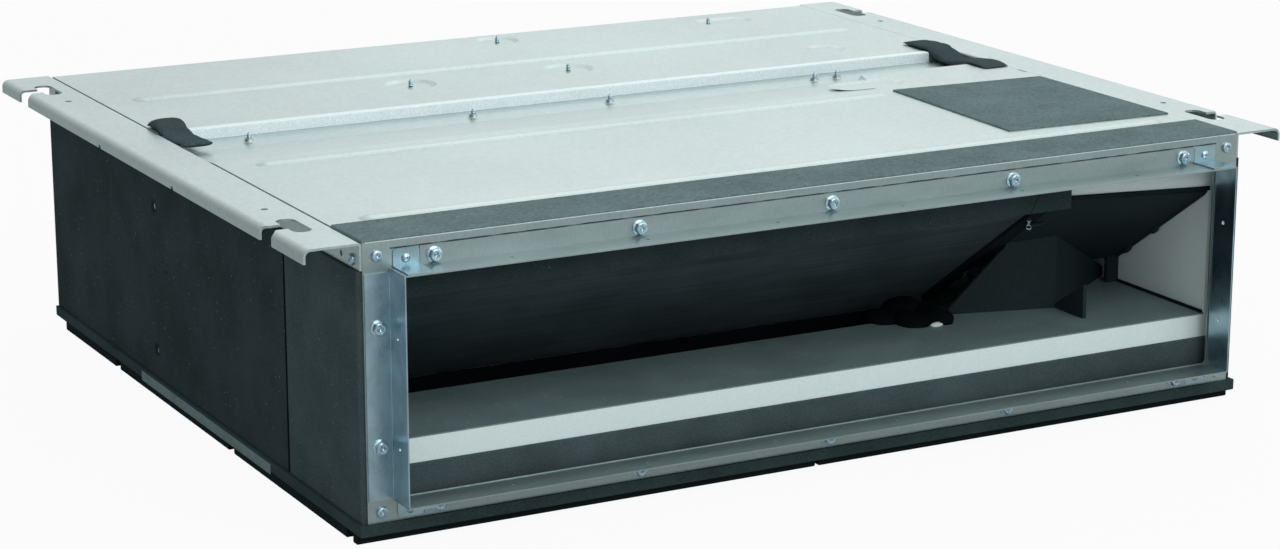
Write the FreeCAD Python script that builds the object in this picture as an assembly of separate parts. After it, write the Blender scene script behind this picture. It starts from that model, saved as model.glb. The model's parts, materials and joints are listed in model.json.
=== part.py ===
import FreeCAD, Part
import math
import os

from FreeCAD import Vector

# Ducted air conditioner: a slim ceiling unit. Drawing space while modelling, in millimetres:
# x runs left to right seen from the air outlet, y runs from the outlet ring to the suction side,
# z runs up from the underside of the steel casing. The finished part is moved so that its origin
# is at the middle of its base.

# Casing
case_width = 700.0
case_depth = 620.0
case_height = 189.0
sheet = 1.0
bend = 0.6
flange = 12.0
return_depth = 14.0
base_split = 3.0
pipe_hole_gap = 2.0

# Hanger rails
suspension_pitch = 740.0
rail_edge = 20.0
rail_sheet = 1.6
rail_lip = 9.7
rail_flange = 18.5
rail_lip_bend = 3.6
rail_start = 0.5
rail_tail = 5.0
slot_width = 13.5
slot_length = 39.5
slot_from_front = 64.5
slot_from_back = 50.5
entry_width = 12.8
entry_flare = 4.0
entry_flat = 2.0
entry_deep = 5.0
entry_lip_round = 3.0
entry_throat_round = 2.0
rail_hole_radius = 2.5
rail_hole_front = 51.0
rail_hole_back = 49.5
rail_notch_radius = 2.6
rail_notch_front = 238.0
rail_notch_back = 390.0
rail_spare_hole = 18.0

# Duct collar round the outlet
collar_depth = 24.5
collar_side = 19.4
collar_sill = 15.5
collar_head = 19.5
collar_leg = 13.5
collar_bend = 0.4
collar_edge = 0.8
collar_relief = 1.5
collar_hole_radius = 1.5
collar_hole_pitch = 100.0
collar_hole_count = 6
collar_side_hole_drop = 63.0
collar_side_hole_rise = 52.0
ring_sill_gap = 0.5
ring_head_gap = 1.5
ring_window_round = 3.0
screw_pitch = 150.0
screw_edge = 50.0
screw_row_drop = 13.0
screw_row_rise = 7.6
side_screw_drop = 57.2
side_screw_rise = 51.8
corner_inset = 10.0
corner_drop = 9.5
corner_rise = 7.3
lug_start = 21.0
lug_end = 40.0
lug_gap = 0.3
lug_round = 3.0
rivet_inset = 9.0
rivet_rise = 7.0
rivet_radius = 1.6
rivet_head_radius = 3.2
rivet_top_radius = 2.4
rivet_head = 1.6
rivet_shoulder = 1.1

# Insulation outside the casing
skin = 4.0
skin_start = 1.5
skin_seam = 124.0
skin_seam_gap = 0.6
skin_round = 1.5
skin_pipe_gap = 4.0
peep_radius = 4.5
peep_high_back = 6.0
peep_high_drop = 56.0
peep_low_back = 10.0
peep_low_rise = 21.0
pin_radius = 1.5
pin_front = 17.0
pin_rise = 87.0
base_foam = 11.0
base_foam_proud = 6.0
base_foam_round = 3.0
base_pad = 4.0
base_foam_front = 2.0
base_pad_proud = 3.5
pad_gap = 3.0
pad_seam_left = 5.0
pad_front = 0.5
pad_first_row = 17.0
pad_second_row = 213.5
pad_third_row = 241.0
pad_back = 18.0
top_foam = 3.0
top_foam_start = 0.5
top_foam_round = 2.0
top_strip_depth = 50.0
top_pad_front = 79.0
top_pad_back = 252.0
top_pad_left = 145.0
top_pad_right = 3.0
top_pad_tail_left = 139.0
top_pad_tail_right = 5.0
top_pad_front_skew = 5.0
top_pad_back_skew = 9.0
tongue_left_width = 23.0
tongue_left_reach = 54.0
tongue_left_bed = 26.0
tongue_right_width = 24.0
tongue_right_reach = 26.0
tongue_right_bed = 42.0

# Top plates
joint_y = 375.0
wall_bend = 2.0
groove_drop = 8.0
groove_floor = 38.0
ramp_start = 264.0
ramp_bend = 2.5
plateau_edge = 319.0
plateau_from_right = 126.0
plateau_blend = 18.0
plate_notch_front = 14.0
plate_notch_back = 3.0
plate_notch_length = 12.0
plate_notch_depth = 3.0
flange_dip_front = 2.0
flange_dip_back = 3.0
bead_width = 16.0
bead_height = 1.8
bead_inset = 24.0
bead_before_ramp = 22.0
bead_short = 22.0
front_bead_y = 60.0
rear_bead_back = 125.0
dimple_radius = 21.0
dimple_depth = 1.6
dimple_slope = 5.0
lid_dimple_radius = 19.0
lid_dimple_left = 317.0
lid_dimple_back = 25.0
side_dimple_radius = 17.0
side_dimple_left = 90.0
side_dimple_front = 23.0
long_dimple_radius = 14.0
long_dimple_length = 26.0
long_dimple_left = 100.5
long_dimple_back = 32.0
long_dimple_screw = 14.5
front_dimple_radius = 15.0
front_dimple_length = 34.0
front_dimple_left = 140.5
front_dimple_back = 23.0
joint_screw_back = 23.5
joint_screw_left = 62.0
joint_screw_before_motor = 65.0
joint_screw_past_motor = 53.0
joint_screw_before_plateau = 24.0
joint_screw_at_plateau = 3.0

# Drain pan and inner lining
pan_front = 12.0
pan_height = 48.0
pan_wall = 12.0
pan_floor = 10.0
pan_round = 6.0
trough_front = 104.0
trough_back = 232.0
trough_slope = 14.0
trough_round = 8.0
trough_into_sump = 20.0
sump_margin = 18.0
sump_front = 134.0
sump_back = 320.0
sump_round = 10.0
film = 1.0
film_turn = 8.0
lining = 12.0
lining_tail = 20.0
side_gap = 2.3
seal = 2.0
sill_seal_height = 33.0
head_seal_drop = 43.5
head_seal_right = 140.0
seal_gap = 0.3
wedge_fall = 3.6
band_height = 3.2
band_fall = 6.6
band_inset = 3.4

# Heat exchanger
coil_top_y = 18.0
coil_top_drop = 35.0
coil_low_z = 31.66
coil_left = 33.0
coil_from_right = 155.0
stage_pitch = 24.0
stages = 9
row_pitch = 13.5
tube_radius = 3.5
tube_clearance = 0.05
end_plate = 1.2
end_plate_tail = 3.0
end_plate_heel = 14.0
end_plate_toe = 8.0
coil_seat = 1.0
bend_start = 1.0

# Service pipes and their flare nuts
header_rise = 16.0
header_reach = 14.0
header_overrun = 8.0
gas_radius = 6.35
gas_header_radius = 7.0
liquid_radius = 3.2
liquid_header_radius = 5.0
pipe_out = 24.0
flare_wide = 1.6
flare_long = 2.6
gas_nut_flats = 26.0
liquid_nut_flats = 17.0
nut_length = 14.0
nut_neck = 6.0
nut_neck_wall = 2.5
nut_back = 20.0

# Black cover below the coil's piping end
strip_width = 12.0
strip_length = 194.0
strip_tuck = 1.0
strip_fill = 2.0
strip_plate_gap = 0.2
strip_gap = 0.3
cover_thick = 3.0
cover_fall = 8.5
cover_end = 134.0
cover_top = 2.0
cover_gap = 0.5
cover_bite = 0.5
gusset_from_right = 104.0
gusset_front = 41.0
gusset_height = 26.0
gusset_root = 1.5
gusset_back = 76.4
skirt_left = 189.0
skirt_left_back = 98.9
skirt_rise = 50.0
skirt_wall_back = 138.0
skirt_thick = 2.5
leg_width = 11.0
leg_front = 118.0
leg_thick = 3.5

# Fans and their motor
fan_behind_joint = 81.0
fan_left_of_middle = 40.0
scroll_clear_top = 4.5
scroll_clear_base = 7.5
motor_radius = 44.0
motor_length = 64.0
motor_cap_length = 8.0
motor_cap_inset = 6.0
motor_rim = 3.0
motor_rim_half = 1.5
boss_radius = 11.0
boss_length = 10.0
shaft_radius = 4.0
shaft_overrun = 16.0
running_clearance = 0.05
blade_depth = 13.0
rotor_width = 150.0
rotor_offset = 60.0
blades = 36
blade_sheet = 1.1
blade_inset = 1.0
blade_sweep = math.radians(9)
rotor_ring = 4.0
rotor_ring_proud = 0.6
hub_radius = 11.0
hub_half = 12.0
hub_flare = 1.5
disc_half = 1.0
disc_inset = 1.0
scroll_step = 8.0
scroll_gap = 5.0
scroll_wall = 1.5
tongue_rise = math.radians(32)
throat_reach = 7.0
housing_margin = 8.0
housing_lip = 8.0
housing_lip_sheet = 2.0
inlet_inset = 11.0
bell_wide = 3.0
bell_out = 2.0
bell_deep = 5.0
bell_neck = 3.5
bell_heel = 0.5
mount_gap = 0.5
mount_radius = 20.0
mount_groove_radius = 17.0
mount_flange = 3.0
bracket_sheet = 2.0
bracket_half = 18.0
bracket_eye = 27.0
bracket_overrun = 15.0
motor_screw_reach = 70.0

# Drain pump and float switch
pump_from_right = 68.0
pump_y = 286.0
pump_cup_lift = 6.0
pump_cup_radius = 20.0
pump_cup_height = 16.0
pump_cup_wall = 2.0
pump_neck_radius = 9.0
pump_neck_low = 22.0
pump_neck_high = 44.0
pump_bore_height = 40.0
pump_can_radius = 23.0
pump_can_low = 50.0
pump_shelf_drop = 31.0
pump_shelf_sheet = 2.0
pump_shelf_lug = 20.0
pump_shelf_left = 16.0
pump_shelf_right = 30.0
pump_shelf_front = 26.0
nozzle_radius = 8.0
nozzle_start = 20.0
nozzle_end = 38.0
hose_start = 24.0
hose_wall = 3.0
hose_stop = 9.0
socket_z = 104.0
socket_radius = 13.0
socket_wall = 3.0
socket_bore = 5.5
socket_shoulder = 7.0
socket_step = 3.0
socket_throat = 5.0
socket_collar = 17.0
socket_inside = 22.0
socket_outside = 32.0
wheel_shaft = 2.0
wheel_hub = 4.0
wheel_hub_low = 1.0
wheel_hub_high = 12.0
wheel_low = 2.0
wheel_high = 11.0
wheel_shaft_high = 36.0
wheel_radius = 16.0
vane_root = 3.0
vane_half = 0.6
vanes = 4
float_left_of_pump = 40.0
float_travel = 14.0
float_radius = 10.0
float_height = 16.0
float_bevel = 2.0
stem_radius = 3.0
stem_foot_radius = 6.0
stem_head_radius = 7.0
stem_foot = 2.0
stem_head = 4.0
stem_lift = 4.0
float_gap = 0.3
float_stop_gap = 0.5
float_bore_gap = 0.1
float_stop_root = 0.5

# Control box in the right-hand rear corner
box_behind_joint = 35.0
box_from_back = 30.0
box_low = 26.0
box_from_top = 37.0
box_depth = 100.0
cover_margin = 9.0
cover_sheet = 1.2
cover_round = 5.0
vent_count = 5
vent_pitch = 9.0
vent_width = 3.0
vent_length = 26.0
vent_inset = 22.0
vent_drop = 14.0
box_skin_gap = 2.0
board_edge = 8.0
board_stand = 8.0
board_sheet = 1.6
board_post = 3.0
board_post_inset = 6.0
board_post_proud = 0.5
board_seat = 0.2
terminal_count = 6
terminal_pitch = 14.0
terminal_width = 12.0
terminal_inset = 14.0
terminal_low = 2.0
terminal_height = 20.0
terminal_deep = 14.0
relay_count = 3
relay_pitch = 24.0
relay_width = 18.0
relay_inset = 16.0
relay_high = 6.0
relay_height = 20.0
capacitor_radius = 14.0
capacitor_length = 32.0
capacitor_inset = 30.0
capacitor_drop = 28.0
transformer_width = 40.0
transformer_height = 32.0
transformer_deep = 28.0
transformer_inset = 12.0
transformer_rise = 10.0

# Suction frame and air filter
filter_depth = 10.0
filter_bar = 9.0
filter_rib = 2.0
filter_rib_front = 5.0
filter_rib_back = 1.0
filter_panes = 4
filter_net = 0.8
filter_round = 2.5
grip_half = 14.0
grip_reach = 6.0
grip_root = 0.5
grip_low = 1.0
grip_edge = 3.0
grip_high = 4.0
frame_side = 28.0
frame_low = 18.0
frame_high = 22.0
pocket_margin = 4.0
pocket_lip = 9.0
pocket_clearance = 2.0
window_round = 2.0
dimple_clearance = 3.0
fit_gap = 0.4

# Fasteners
screw_radius = 2.0
hole_gap = 0.1
screw_point = 1.6
rail_screw_drop = 13.0
rail_screw_front = 12.0
rail_screw_back = 14.0
hex_flats = 8.0
hex_head = 3.4
hex_washer = 1.0
hex_shank = 9.0
washer_radius = 5.5
pan_head = 2.4
pan_head_radius = 4.0
pan_top_radius = 2.8
corner_screw_length = 7.0
groove_screw_proud = 1.5
bracket_screw_length = 9.0
frame_screw_length = 7.0

# Values worked out from the sizes above
base_height = base_foam + base_pad
mid_x = case_width / 2
plate_under = case_height - sheet
groove_z = case_height - groove_drop
slot_out = (suspension_pitch - case_width) / 2
rail_reach = slot_out + rail_edge
duct_top = case_height - collar_head
duct_right = case_width - collar_side
plateau_x = case_width - plateau_from_right
pan_bed = 2 * sheet
pan_top = pan_bed + pan_height
pan_x0 = side_gap
pan_x1 = case_width - side_gap
coil_right = case_width - coil_from_right
coil_top_z = case_height - coil_top_drop
coil_length = stages * stage_pitch
coil_thick = 2 * row_pitch
lean = math.asin((coil_top_z - coil_low_z) / coil_length)
cover_left = coil_right + strip_width
skirt_x = case_width - skirt_left
gusset_x = case_width - gusset_from_right
cover_wall = pan_x1 - lining - cover_gap
motor_x = mid_x - fan_left_of_middle
fan_y = joint_y + fan_behind_joint
scroll_shell = scroll_gap + scroll_wall
rotor_radius = (groove_z - scroll_clear_top - scroll_clear_base) / 2 - 2 * scroll_step - scroll_shell
fan_z = scroll_clear_base + scroll_step + rotor_radius + scroll_shell
inlet_radius = rotor_radius - inlet_inset
pump_x = case_width - pump_from_right
float_x = pump_x - float_left_of_pump
box_front = joint_y + box_behind_joint
box_back = case_depth - box_from_back
box_high = case_height - box_from_top
pump_shelf_z = groove_z - pump_shelf_drop
pump_cup = pan_bed + pan_floor + pump_cup_lift
float_stem_low = pan_bed + pan_floor + stem_lift
float_stem_high = pump_shelf_z + pump_shelf_sheet + stem_head
float_low = float_stem_low + stem_foot + float_gap
housing_mouth = joint_y - throat_reach
bracket_top = case_height - dimple_depth - sheet
filter_front = case_depth - sheet - filter_depth - pocket_clearance
joint_screw_y = joint_y - joint_screw_back
X = Vector(1, 0, 0)
Y = Vector(0, 1, 0)
Z = Vector(0, 0, 1)


def block(x0, x1, y0, y1, z0, z1):
    return Part.makeBox(x1 - x0, y1 - y0, z1 - z0, Vector(x0, y0, z0))


def rod(start, end, radius):
    axis = end.sub(start)
    return Part.makeCylinder(radius, axis.Length, start, axis)


def rounded_face(points, radii):
    """Flat face through the points, with an arc of the given radius at each corner."""
    corners = []
    count = len(points)
    for i in range(count):
        here, before, after = points[i], points[i - 1], points[(i + 1) % count]
        if radii[i] <= 0:
            corners.append((here, None, here))
            continue
        a = before.sub(here).normalize()
        b = after.sub(here).normalize()
        half = a.getAngle(b) / 2
        reach = radii[i] / math.tan(half)
        inward = a.add(b).normalize()
        centre = here.add(inward.multiply(radii[i] / math.sin(half)))
        middle = centre.add(here.sub(centre).normalize().multiply(radii[i]))
        corners.append((here.add(a.multiply(reach)), middle, here.add(b.multiply(reach))))
    edges = []
    for i in range(count):
        start, middle, end = corners[i]
        if middle is not None:
            edges.append(Part.Arc(start, middle, end).toShape())
        following = corners[(i + 1) % count][0]
        if end.distanceToPoint(following) > 1e-6:
            edges.append(Part.LineSegment(end, following).toShape())
    return Part.Face(Part.Wire(edges))


def spread(radii, count):
    return list(radii) if isinstance(radii, (list, tuple)) else [radii] * count


def extrude_x(profile, x0, x1, radii=0):
    points = [Vector(x0, y, z) for y, z in profile]
    return rounded_face(points, spread(radii, len(points))).extrude(Vector(x1 - x0, 0, 0))


def extrude_y(profile, y0, y1, radii=0):
    points = [Vector(x, y0, z) for x, z in profile]
    return rounded_face(points, spread(radii, len(points))).extrude(Vector(0, y1 - y0, 0))


def extrude_z(profile, z0, z1, radii=0):
    points = [Vector(x, y, z0) for x, y in profile]
    return rounded_face(points, spread(radii, len(points))).extrude(Vector(0, 0, z1 - z0))


def rectangle(x0, x1, y0, y1):
    return [(x0, y0), (x1, y0), (x1, y1), (x0, y1)]


def folded(path, thick, bends):
    """Section of folded sheet: the path is one face and the sheet lies to the right of it."""
    steps = [(b[0] - a[0], b[1] - a[1]) for a, b in zip(path, path[1:])]
    units = [(u / math.hypot(u, v), v / math.hypot(u, v)) for u, v in steps]
    rights = [(v, -u) for u, v in units]
    bends = spread(bends, len(path) - 2)
    far, near_radii, far_radii = [], [0], [0]
    for i, (px, py) in enumerate(path):
        n1 = rights[max(i - 1, 0)]
        n2 = rights[min(i, len(rights) - 1)]
        share = thick / (1 + n1[0] * n2[0] + n1[1] * n2[1])
        far.append((px + (n1[0] + n2[0]) * share, py + (n1[1] + n2[1]) * share))
        if 0 < i < len(path) - 1:
            turn = units[i - 1][0] * units[i][1] - units[i - 1][1] * units[i][0]
            inner, outer = bends[i - 1], bends[i - 1] + thick
            near_radii.append(outer if turn < 0 else inner)
            far_radii.append(inner if turn < 0 else outer)
    near_radii.append(0)
    far_radii.append(0)
    return list(path) + far[::-1], near_radii + far_radii[::-1]


def fold_x(path, thick, bends, x0, x1):
    profile, radii = folded(path, thick, bends)
    return extrude_x(profile, x0, x1, radii)


def fold_y(path, thick, bends, y0, y1):
    profile, radii = folded(path, thick, bends)
    return extrude_y(profile, y0, y1, radii)


def fold_z(path, thick, bends, z0, z1):
    profile, radii = folded(path, thick, bends)
    return extrude_z(profile, z0, z1, radii)


def stadium(x, y, width, length, z0, z1):
    """Upright slot, longer along y, with round ends."""
    r = width / 2
    run = length / 2 - r
    middle = block(x - r, x + r, y - run, y + run, z0, z1)
    ends = [rod(Vector(x, y + s * run, z0), Vector(x, y + s * run, z1), r) for s in (-1, 1)]
    return middle.multiFuse(ends).removeSplitter()


def mirrored(shape):
    return shape.mirror(Vector(mid_x, 0, 0), X)


def revolve(profile, centre, axis, across, radii=0):
    """Solid of revolution: the profile holds (radius, distance along the axis)."""
    points = [centre.add(Vector(across).multiply(r)).add(Vector(axis).multiply(h)) for r, h in profile]
    face = rounded_face(points, spread(radii, len(points)))
    return face.revolve(centre, axis, 360)


def hexagon(centre, flats, u, v, along):
    """Hexagonal bar on the centre, with its corners in the plane of u and v."""
    radius = flats / math.sqrt(3)
    points = []
    for k in range(6):
        a = math.pi * k / 3
        across = Vector(u).multiply(radius * math.cos(a))
        points.append(centre.add(across).add(Vector(v).multiply(radius * math.sin(a))))
    return Part.Face(Part.makePolygon(points + points[:1])).extrude(along)


def bead(x0, x1, y):
    """Raised bead: its full ridge, and the hollow of the same sheet under it."""
    outer = ridge(x0, x1, y, bead_width / 2)
    hollow = ridge(x0 + sheet, x1 - sheet, y, bead_width / 2 - sheet)
    hollow.translate(Vector(0, 0, -sheet))
    return outer, hollow


def ridge(x0, x1, y, half):
    """Ridge with a round back and round ends; it stands on a base inside the sheet."""
    base = case_height - sheet / 2
    a, b = x0 + half, x1 - half
    crown = Vector(a, y, case_height + bead_height)
    left, right = Vector(a, y - half, case_height), Vector(a, y + half, case_height)
    foot_left, foot_right = Vector(a, y - half, base), Vector(a, y + half, base)
    section = Part.Wire([
        Part.Arc(left, crown, right).toShape(),
        Part.LineSegment(right, foot_right).toShape(),
        Part.LineSegment(foot_right, foot_left).toShape(),
        Part.LineSegment(foot_left, left).toShape(),
    ])
    body = Part.Face(section).extrude(Vector(b - a, 0, 0))
    rise = half * math.sqrt(0.5)
    radius = (half * half + bead_height * bead_height) / (2 * bead_height)
    shoulder = case_height + bead_height - radius + math.sqrt(radius * radius - rise * rise)
    caps = []
    for x in (a, b):
        half_section = Part.Wire([
            Part.Arc(Vector(x, y, case_height + bead_height), Vector(x, y + rise, shoulder),
                     Vector(x, y + half, case_height)).toShape(),
            Part.LineSegment(Vector(x, y + half, case_height), Vector(x, y + half, base)).toShape(),
            Part.LineSegment(Vector(x, y + half, base), Vector(x, y, base)).toShape(),
            Part.LineSegment(Vector(x, y, base), Vector(x, y, case_height + bead_height)).toShape(),
        ])
        caps.append(Part.Face(half_section).revolve(Vector(x, y, base), Z, 360))
    return body.multiFuse(caps)


def long_outline(x0, x1, y, half, z):
    """Closed outline with straight sides and round ends."""
    a, b = x0 + half, x1 - half
    left = Part.Arc(Vector(a, y + half, z), Vector(x0, y, z), Vector(a, y - half, z)).toShape()
    right = Part.Arc(Vector(b, y - half, z), Vector(x1, y, z), Vector(b, y + half, z)).toShape()
    front = Part.LineSegment(Vector(a, y - half, z), Vector(b, y - half, z)).toShape()
    back = Part.LineSegment(Vector(b, y + half, z), Vector(a, y + half, z)).toShape()
    return Part.Wire([left, front, right, back])


def dimple_tool(x, y, radius, length):
    """Recess and the dished sheet that forms it, for a round or a long dimple."""
    floor = case_height - dimple_depth
    cut = dimple_solid(x, y, radius, length, case_height, floor)
    dish = dimple_solid(x, y, radius + sheet, length, case_height - sheet / 2, floor - sheet)
    return cut, dish


def dimple_solid(x, y, radius, length, top, bottom):
    inner = radius - dimple_slope / dimple_depth * (top - bottom)
    run = length / 2
    if run <= 0:
        return Part.makeCone(inner, radius, top - bottom, Vector(x, y, bottom), Z)
    upper = long_outline(x - run - radius, x + run + radius, y, radius, top)
    lower = long_outline(x - run - inner, x + run + inner, y, inner, bottom)
    return Part.makeLoft([lower, upper], True)


def dimpled(plate, places):
    for x, y, radius, length in places:
        cut, dish = dimple_tool(x, y, radius, length)
        plate = plate.fuse(dish).cut(cut)
    return plate


def rear_dimples():
    """Centre, radius and straight length of the dimples: two over the motor bracket come first."""
    return [
        (motor_x - motor_screw_reach, fan_y, dimple_radius, 0),
        (motor_x + motor_screw_reach, fan_y, dimple_radius, 0),
        (case_width - lid_dimple_left, case_depth - lid_dimple_back, lid_dimple_radius, 0),
        (case_width - side_dimple_left, fan_y - side_dimple_front, side_dimple_radius, 0),
        (case_width - long_dimple_left, case_depth - long_dimple_back, long_dimple_radius,
         long_dimple_length),
    ]


def front_dimple():
    return (case_width - front_dimple_left, ramp_start + front_dimple_back, front_dimple_radius,
            front_dimple_length)


def bracket_screw_places():
    return [(motor_x - motor_screw_reach, fan_y), (motor_x + motor_screw_reach, fan_y)]


def frame_screw_places():
    """Screws that hold the rear plate to the suction frame through its two rear dimples."""
    long_screw_x = case_width - long_dimple_left - long_dimple_screw
    return [(case_width - lid_dimple_left, case_depth - lid_dimple_back),
            (long_screw_x, case_depth - long_dimple_back)]


def joint_screw_places():
    return [joint_screw_left, motor_x - joint_screw_before_motor, motor_x + joint_screw_past_motor,
            plateau_x - joint_screw_before_plateau, plateau_x - joint_screw_at_plateau]


def top_plate_rear():
    path = [(joint_y, groove_z - sheet), (joint_y, case_height), (case_depth - sheet, case_height)]
    plate = fold_x(path, sheet, wall_bend, fit_gap, case_width - fit_gap)
    ridge_solid, hollow = bead(bead_inset, case_width - bead_inset, joint_y + rear_bead_back)
    plate = plate.fuse(ridge_solid).cut(hollow)
    plate = dimpled(plate, rear_dimples())
    for x, y in bracket_screw_places() + frame_screw_places():
        hole = rod(Vector(x, y, case_height - groove_drop), Vector(x, y, case_height),
                   screw_radius + hole_gap)
        plate = plate.cut(hole)
    return plate.removeSplitter()


def front_profile(plateau):
    """Front plate section: flat, then down to the groove floor; the plateau drops late."""
    drop_from = plateau_edge if plateau else ramp_start
    drop_to = plateau_edge + groove_drop if plateau else joint_y - groove_floor
    path = [(sheet, case_height), (drop_from, case_height), (drop_to, groove_z),
            (joint_y - fit_gap, groove_z)]
    return folded(path, sheet, ramp_bend)


def top_plate_front():
    blend_x = plateau_x - plateau_blend
    left = extrude_x(front_profile(False)[0], fit_gap, blend_x, front_profile(False)[1])
    right = extrude_x(front_profile(True)[0], plateau_x, case_width - fit_gap, front_profile(True)[1])
    ends = []
    for x, plateau in ((blend_x, False), (plateau_x, True)):
        profile = front_profile(plateau)[0]
        ends.append(Part.makePolygon([Vector(x, y, z) for y, z in profile + profile[:1]]))
    middle = Part.makeLoft(ends, True, True)
    plate = left.fuse([middle, right])
    ramp_bead = (plateau_x - bead_short, ramp_start - bead_before_ramp)
    front_bead = (case_width - bead_inset, front_bead_y)
    for x1, y in (ramp_bead, front_bead):
        ridge_solid, hollow = bead(bead_inset, x1, y)
        plate = plate.fuse(ridge_solid).cut(hollow)
    plate = dimpled(plate, [front_dimple()])
    for x in joint_screw_places():
        hole = rod(Vector(x, joint_screw_y, 0), Vector(x, joint_screw_y, case_height),
                   screw_radius + hole_gap)
        plate = plate.cut(hole)
    for y in (plate_notch_front, ramp_start + plate_notch_back):
        plate = plate.cut(block(case_width - plate_notch_depth, case_width, y, y + plate_notch_length,
                                plate_under - sheet, case_height + sheet))
    return plate.removeSplitter()


def side_panel(drop_from, drop_to):
    """Folded side with a flange along its top and bottom, notched where the top plate dips."""
    path = [(flange, sheet), (0, sheet), (0, plate_under), (flange, plate_under)]
    panel = fold_y(path, sheet, bend, sheet, case_depth - sheet)
    for y0, y1 in ((0, sheet + return_depth), (case_depth - sheet - return_depth, case_depth)):
        panel = panel.cut(block(sheet, flange + sheet, y0, y1, 0, case_height))
    dip_from, dip_to = drop_from - flange_dip_front, joint_y + flange_dip_back
    dip = [(dip_from, plate_under), (drop_to, groove_z - sheet), (dip_to, groove_z - sheet),
           (dip_to, case_height),
           (dip_from, case_height)]
    panel = panel.cut(extrude_x(dip, -sheet, flange + sheet))
    for y in rail_screw_places():
        z = case_height - rail_screw_drop
        panel = panel.cut(rod(Vector(-sheet, y, z), Vector(2 * sheet, y, z), screw_radius + hole_gap))
    return panel


def side_panel_left():
    return side_panel(ramp_start, joint_y - groove_floor)


def side_panel_right():
    """Right side: window for the control box, and holes for the pipes and the cover's screws."""
    panel = mirrored(side_panel(plateau_edge, plateau_edge + groove_drop))
    inner, outer = case_width - flange, case_width + sheet
    panel = panel.cut(block(inner, outer, box_front, box_back, box_low, box_high))
    for y, z, radius in pipe_places():
        panel = panel.cut(rod(Vector(inner, y, z), Vector(outer, y, z), radius + pipe_hole_gap))
    for y, z in cover_screw_places():
        panel = panel.cut(rod(Vector(inner, y, z), Vector(outer, y, z), screw_radius + hole_gap))
    return panel


def base_plate_front():
    return block(0, case_width, sheet, joint_y - base_split, 0, sheet)


def base_plate_rear():
    return block(0, case_width, joint_y - base_split + fit_gap, case_depth - sheet, 0, sheet)


def scroll_outline(grow):
    """Scroll of three quarter arcs round a small square, and its straight throat to the front."""
    half = scroll_step / 2
    first = rotor_radius + scroll_gap + half + grow
    second = first + scroll_step
    third = second + scroll_step
    yc, zc = fan_y, fan_z
    front = Vector(0, yc + half - first, zc - half)
    bottom = Vector(0, yc + half, zc - half - first)
    rear = Vector(0, yc + half + second, zc + half)
    top = Vector(0, yc - half, zc + half + third)
    diag = math.sqrt(0.5)
    mid1 = Vector(0, yc + half - first * diag, zc - half - first * diag)
    mid2 = Vector(0, yc + half + second * diag, zc + half - second * diag)
    mid3 = Vector(0, yc - half + third * diag, zc + half + third * diag)
    tongue = tongue_point(grow, tongue_rise)
    tongue_mid = tongue_point(grow, tongue_rise / 2)
    mouth_top = Vector(0, housing_mouth, top.z)
    mouth_low = Vector(0, housing_mouth, tongue.z)
    return Part.Wire([
        Part.Arc(front, mid1, bottom).toShape(),
        Part.Arc(bottom, mid2, rear).toShape(),
        Part.Arc(rear, mid3, top).toShape(),
        Part.LineSegment(top, mouth_top).toShape(),
        Part.LineSegment(mouth_top, mouth_low).toShape(),
        Part.LineSegment(mouth_low, tongue).toShape(),
        Part.Arc(tongue, tongue_mid, front).toShape(),
    ])


def tongue_point(grow, rise):
    """Point on the tongue of the scroll, at an angle above the start of its first arc."""
    radius = rotor_radius + scroll_gap + grow
    return Vector(0, fan_y - radius * math.cos(rise), fan_z - scroll_step / 2 + radius * math.sin(rise))


def scroll_solid(grow, x0, x1):
    face = Part.Face(scroll_outline(grow))
    face.translate(Vector(x0, 0, 0))
    return face.extrude(Vector(x1 - x0, 0, 0))


def throat_range():
    """Lowest and highest z of the scroll's outer throat."""
    low = tongue_point(0, tongue_rise).z - scroll_wall
    return low, groove_z - scroll_clear_top


def housing_ends(side):
    centre = motor_x + side * (rotor_offset + rotor_width / 2)
    half = rotor_width / 2 + housing_margin
    return centre - half, centre + half


def fan_housing(side):
    """Scroll casing with a throat, a mounting lip on the partition and a bell mouth at each end."""
    x0, x1 = housing_ends(side)
    low, high = throat_range()
    neck = fan_y - rotor_radius
    wall, rim = scroll_wall, housing_lip
    outer = scroll_solid(wall, x0, x1).fuse(block(x0, x1, housing_mouth, neck, low, high))
    cavity = scroll_solid(0, x0 + wall, x1 - wall)
    face = joint_y + sheet
    lip = block(x0 - rim, x1 + rim, face, face + housing_lip_sheet, low - rim, groove_z - 2 * sheet)
    shell = outer.fuse(lip).cut(cavity)
    shell = shell.cut(block(x0 + wall, x1 - wall, housing_mouth - sheet, neck, low + wall, high - wall))
    for x, way in ((x0, 1), (x1, -1)):
        centre = Vector(x, fan_y, fan_z)
        reach = Vector(2 * wall, 0, 0)
        shell = shell.cut(rod(centre.sub(reach), centre.add(reach), inlet_radius))
        bell = [(inlet_radius + bell_wide, 0), (inlet_radius + bell_wide, -bell_out),
                (inlet_radius, -bell_out),
                (inlet_radius - bell_neck, bell_deep), (inlet_radius - bell_neck + wall, bell_deep),
                (inlet_radius + bell_heel, 0)]
        shell = shell.fuse(revolve(bell, centre, Vector(way, 0, 0), Z))
    return shell.removeSplitter()


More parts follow.
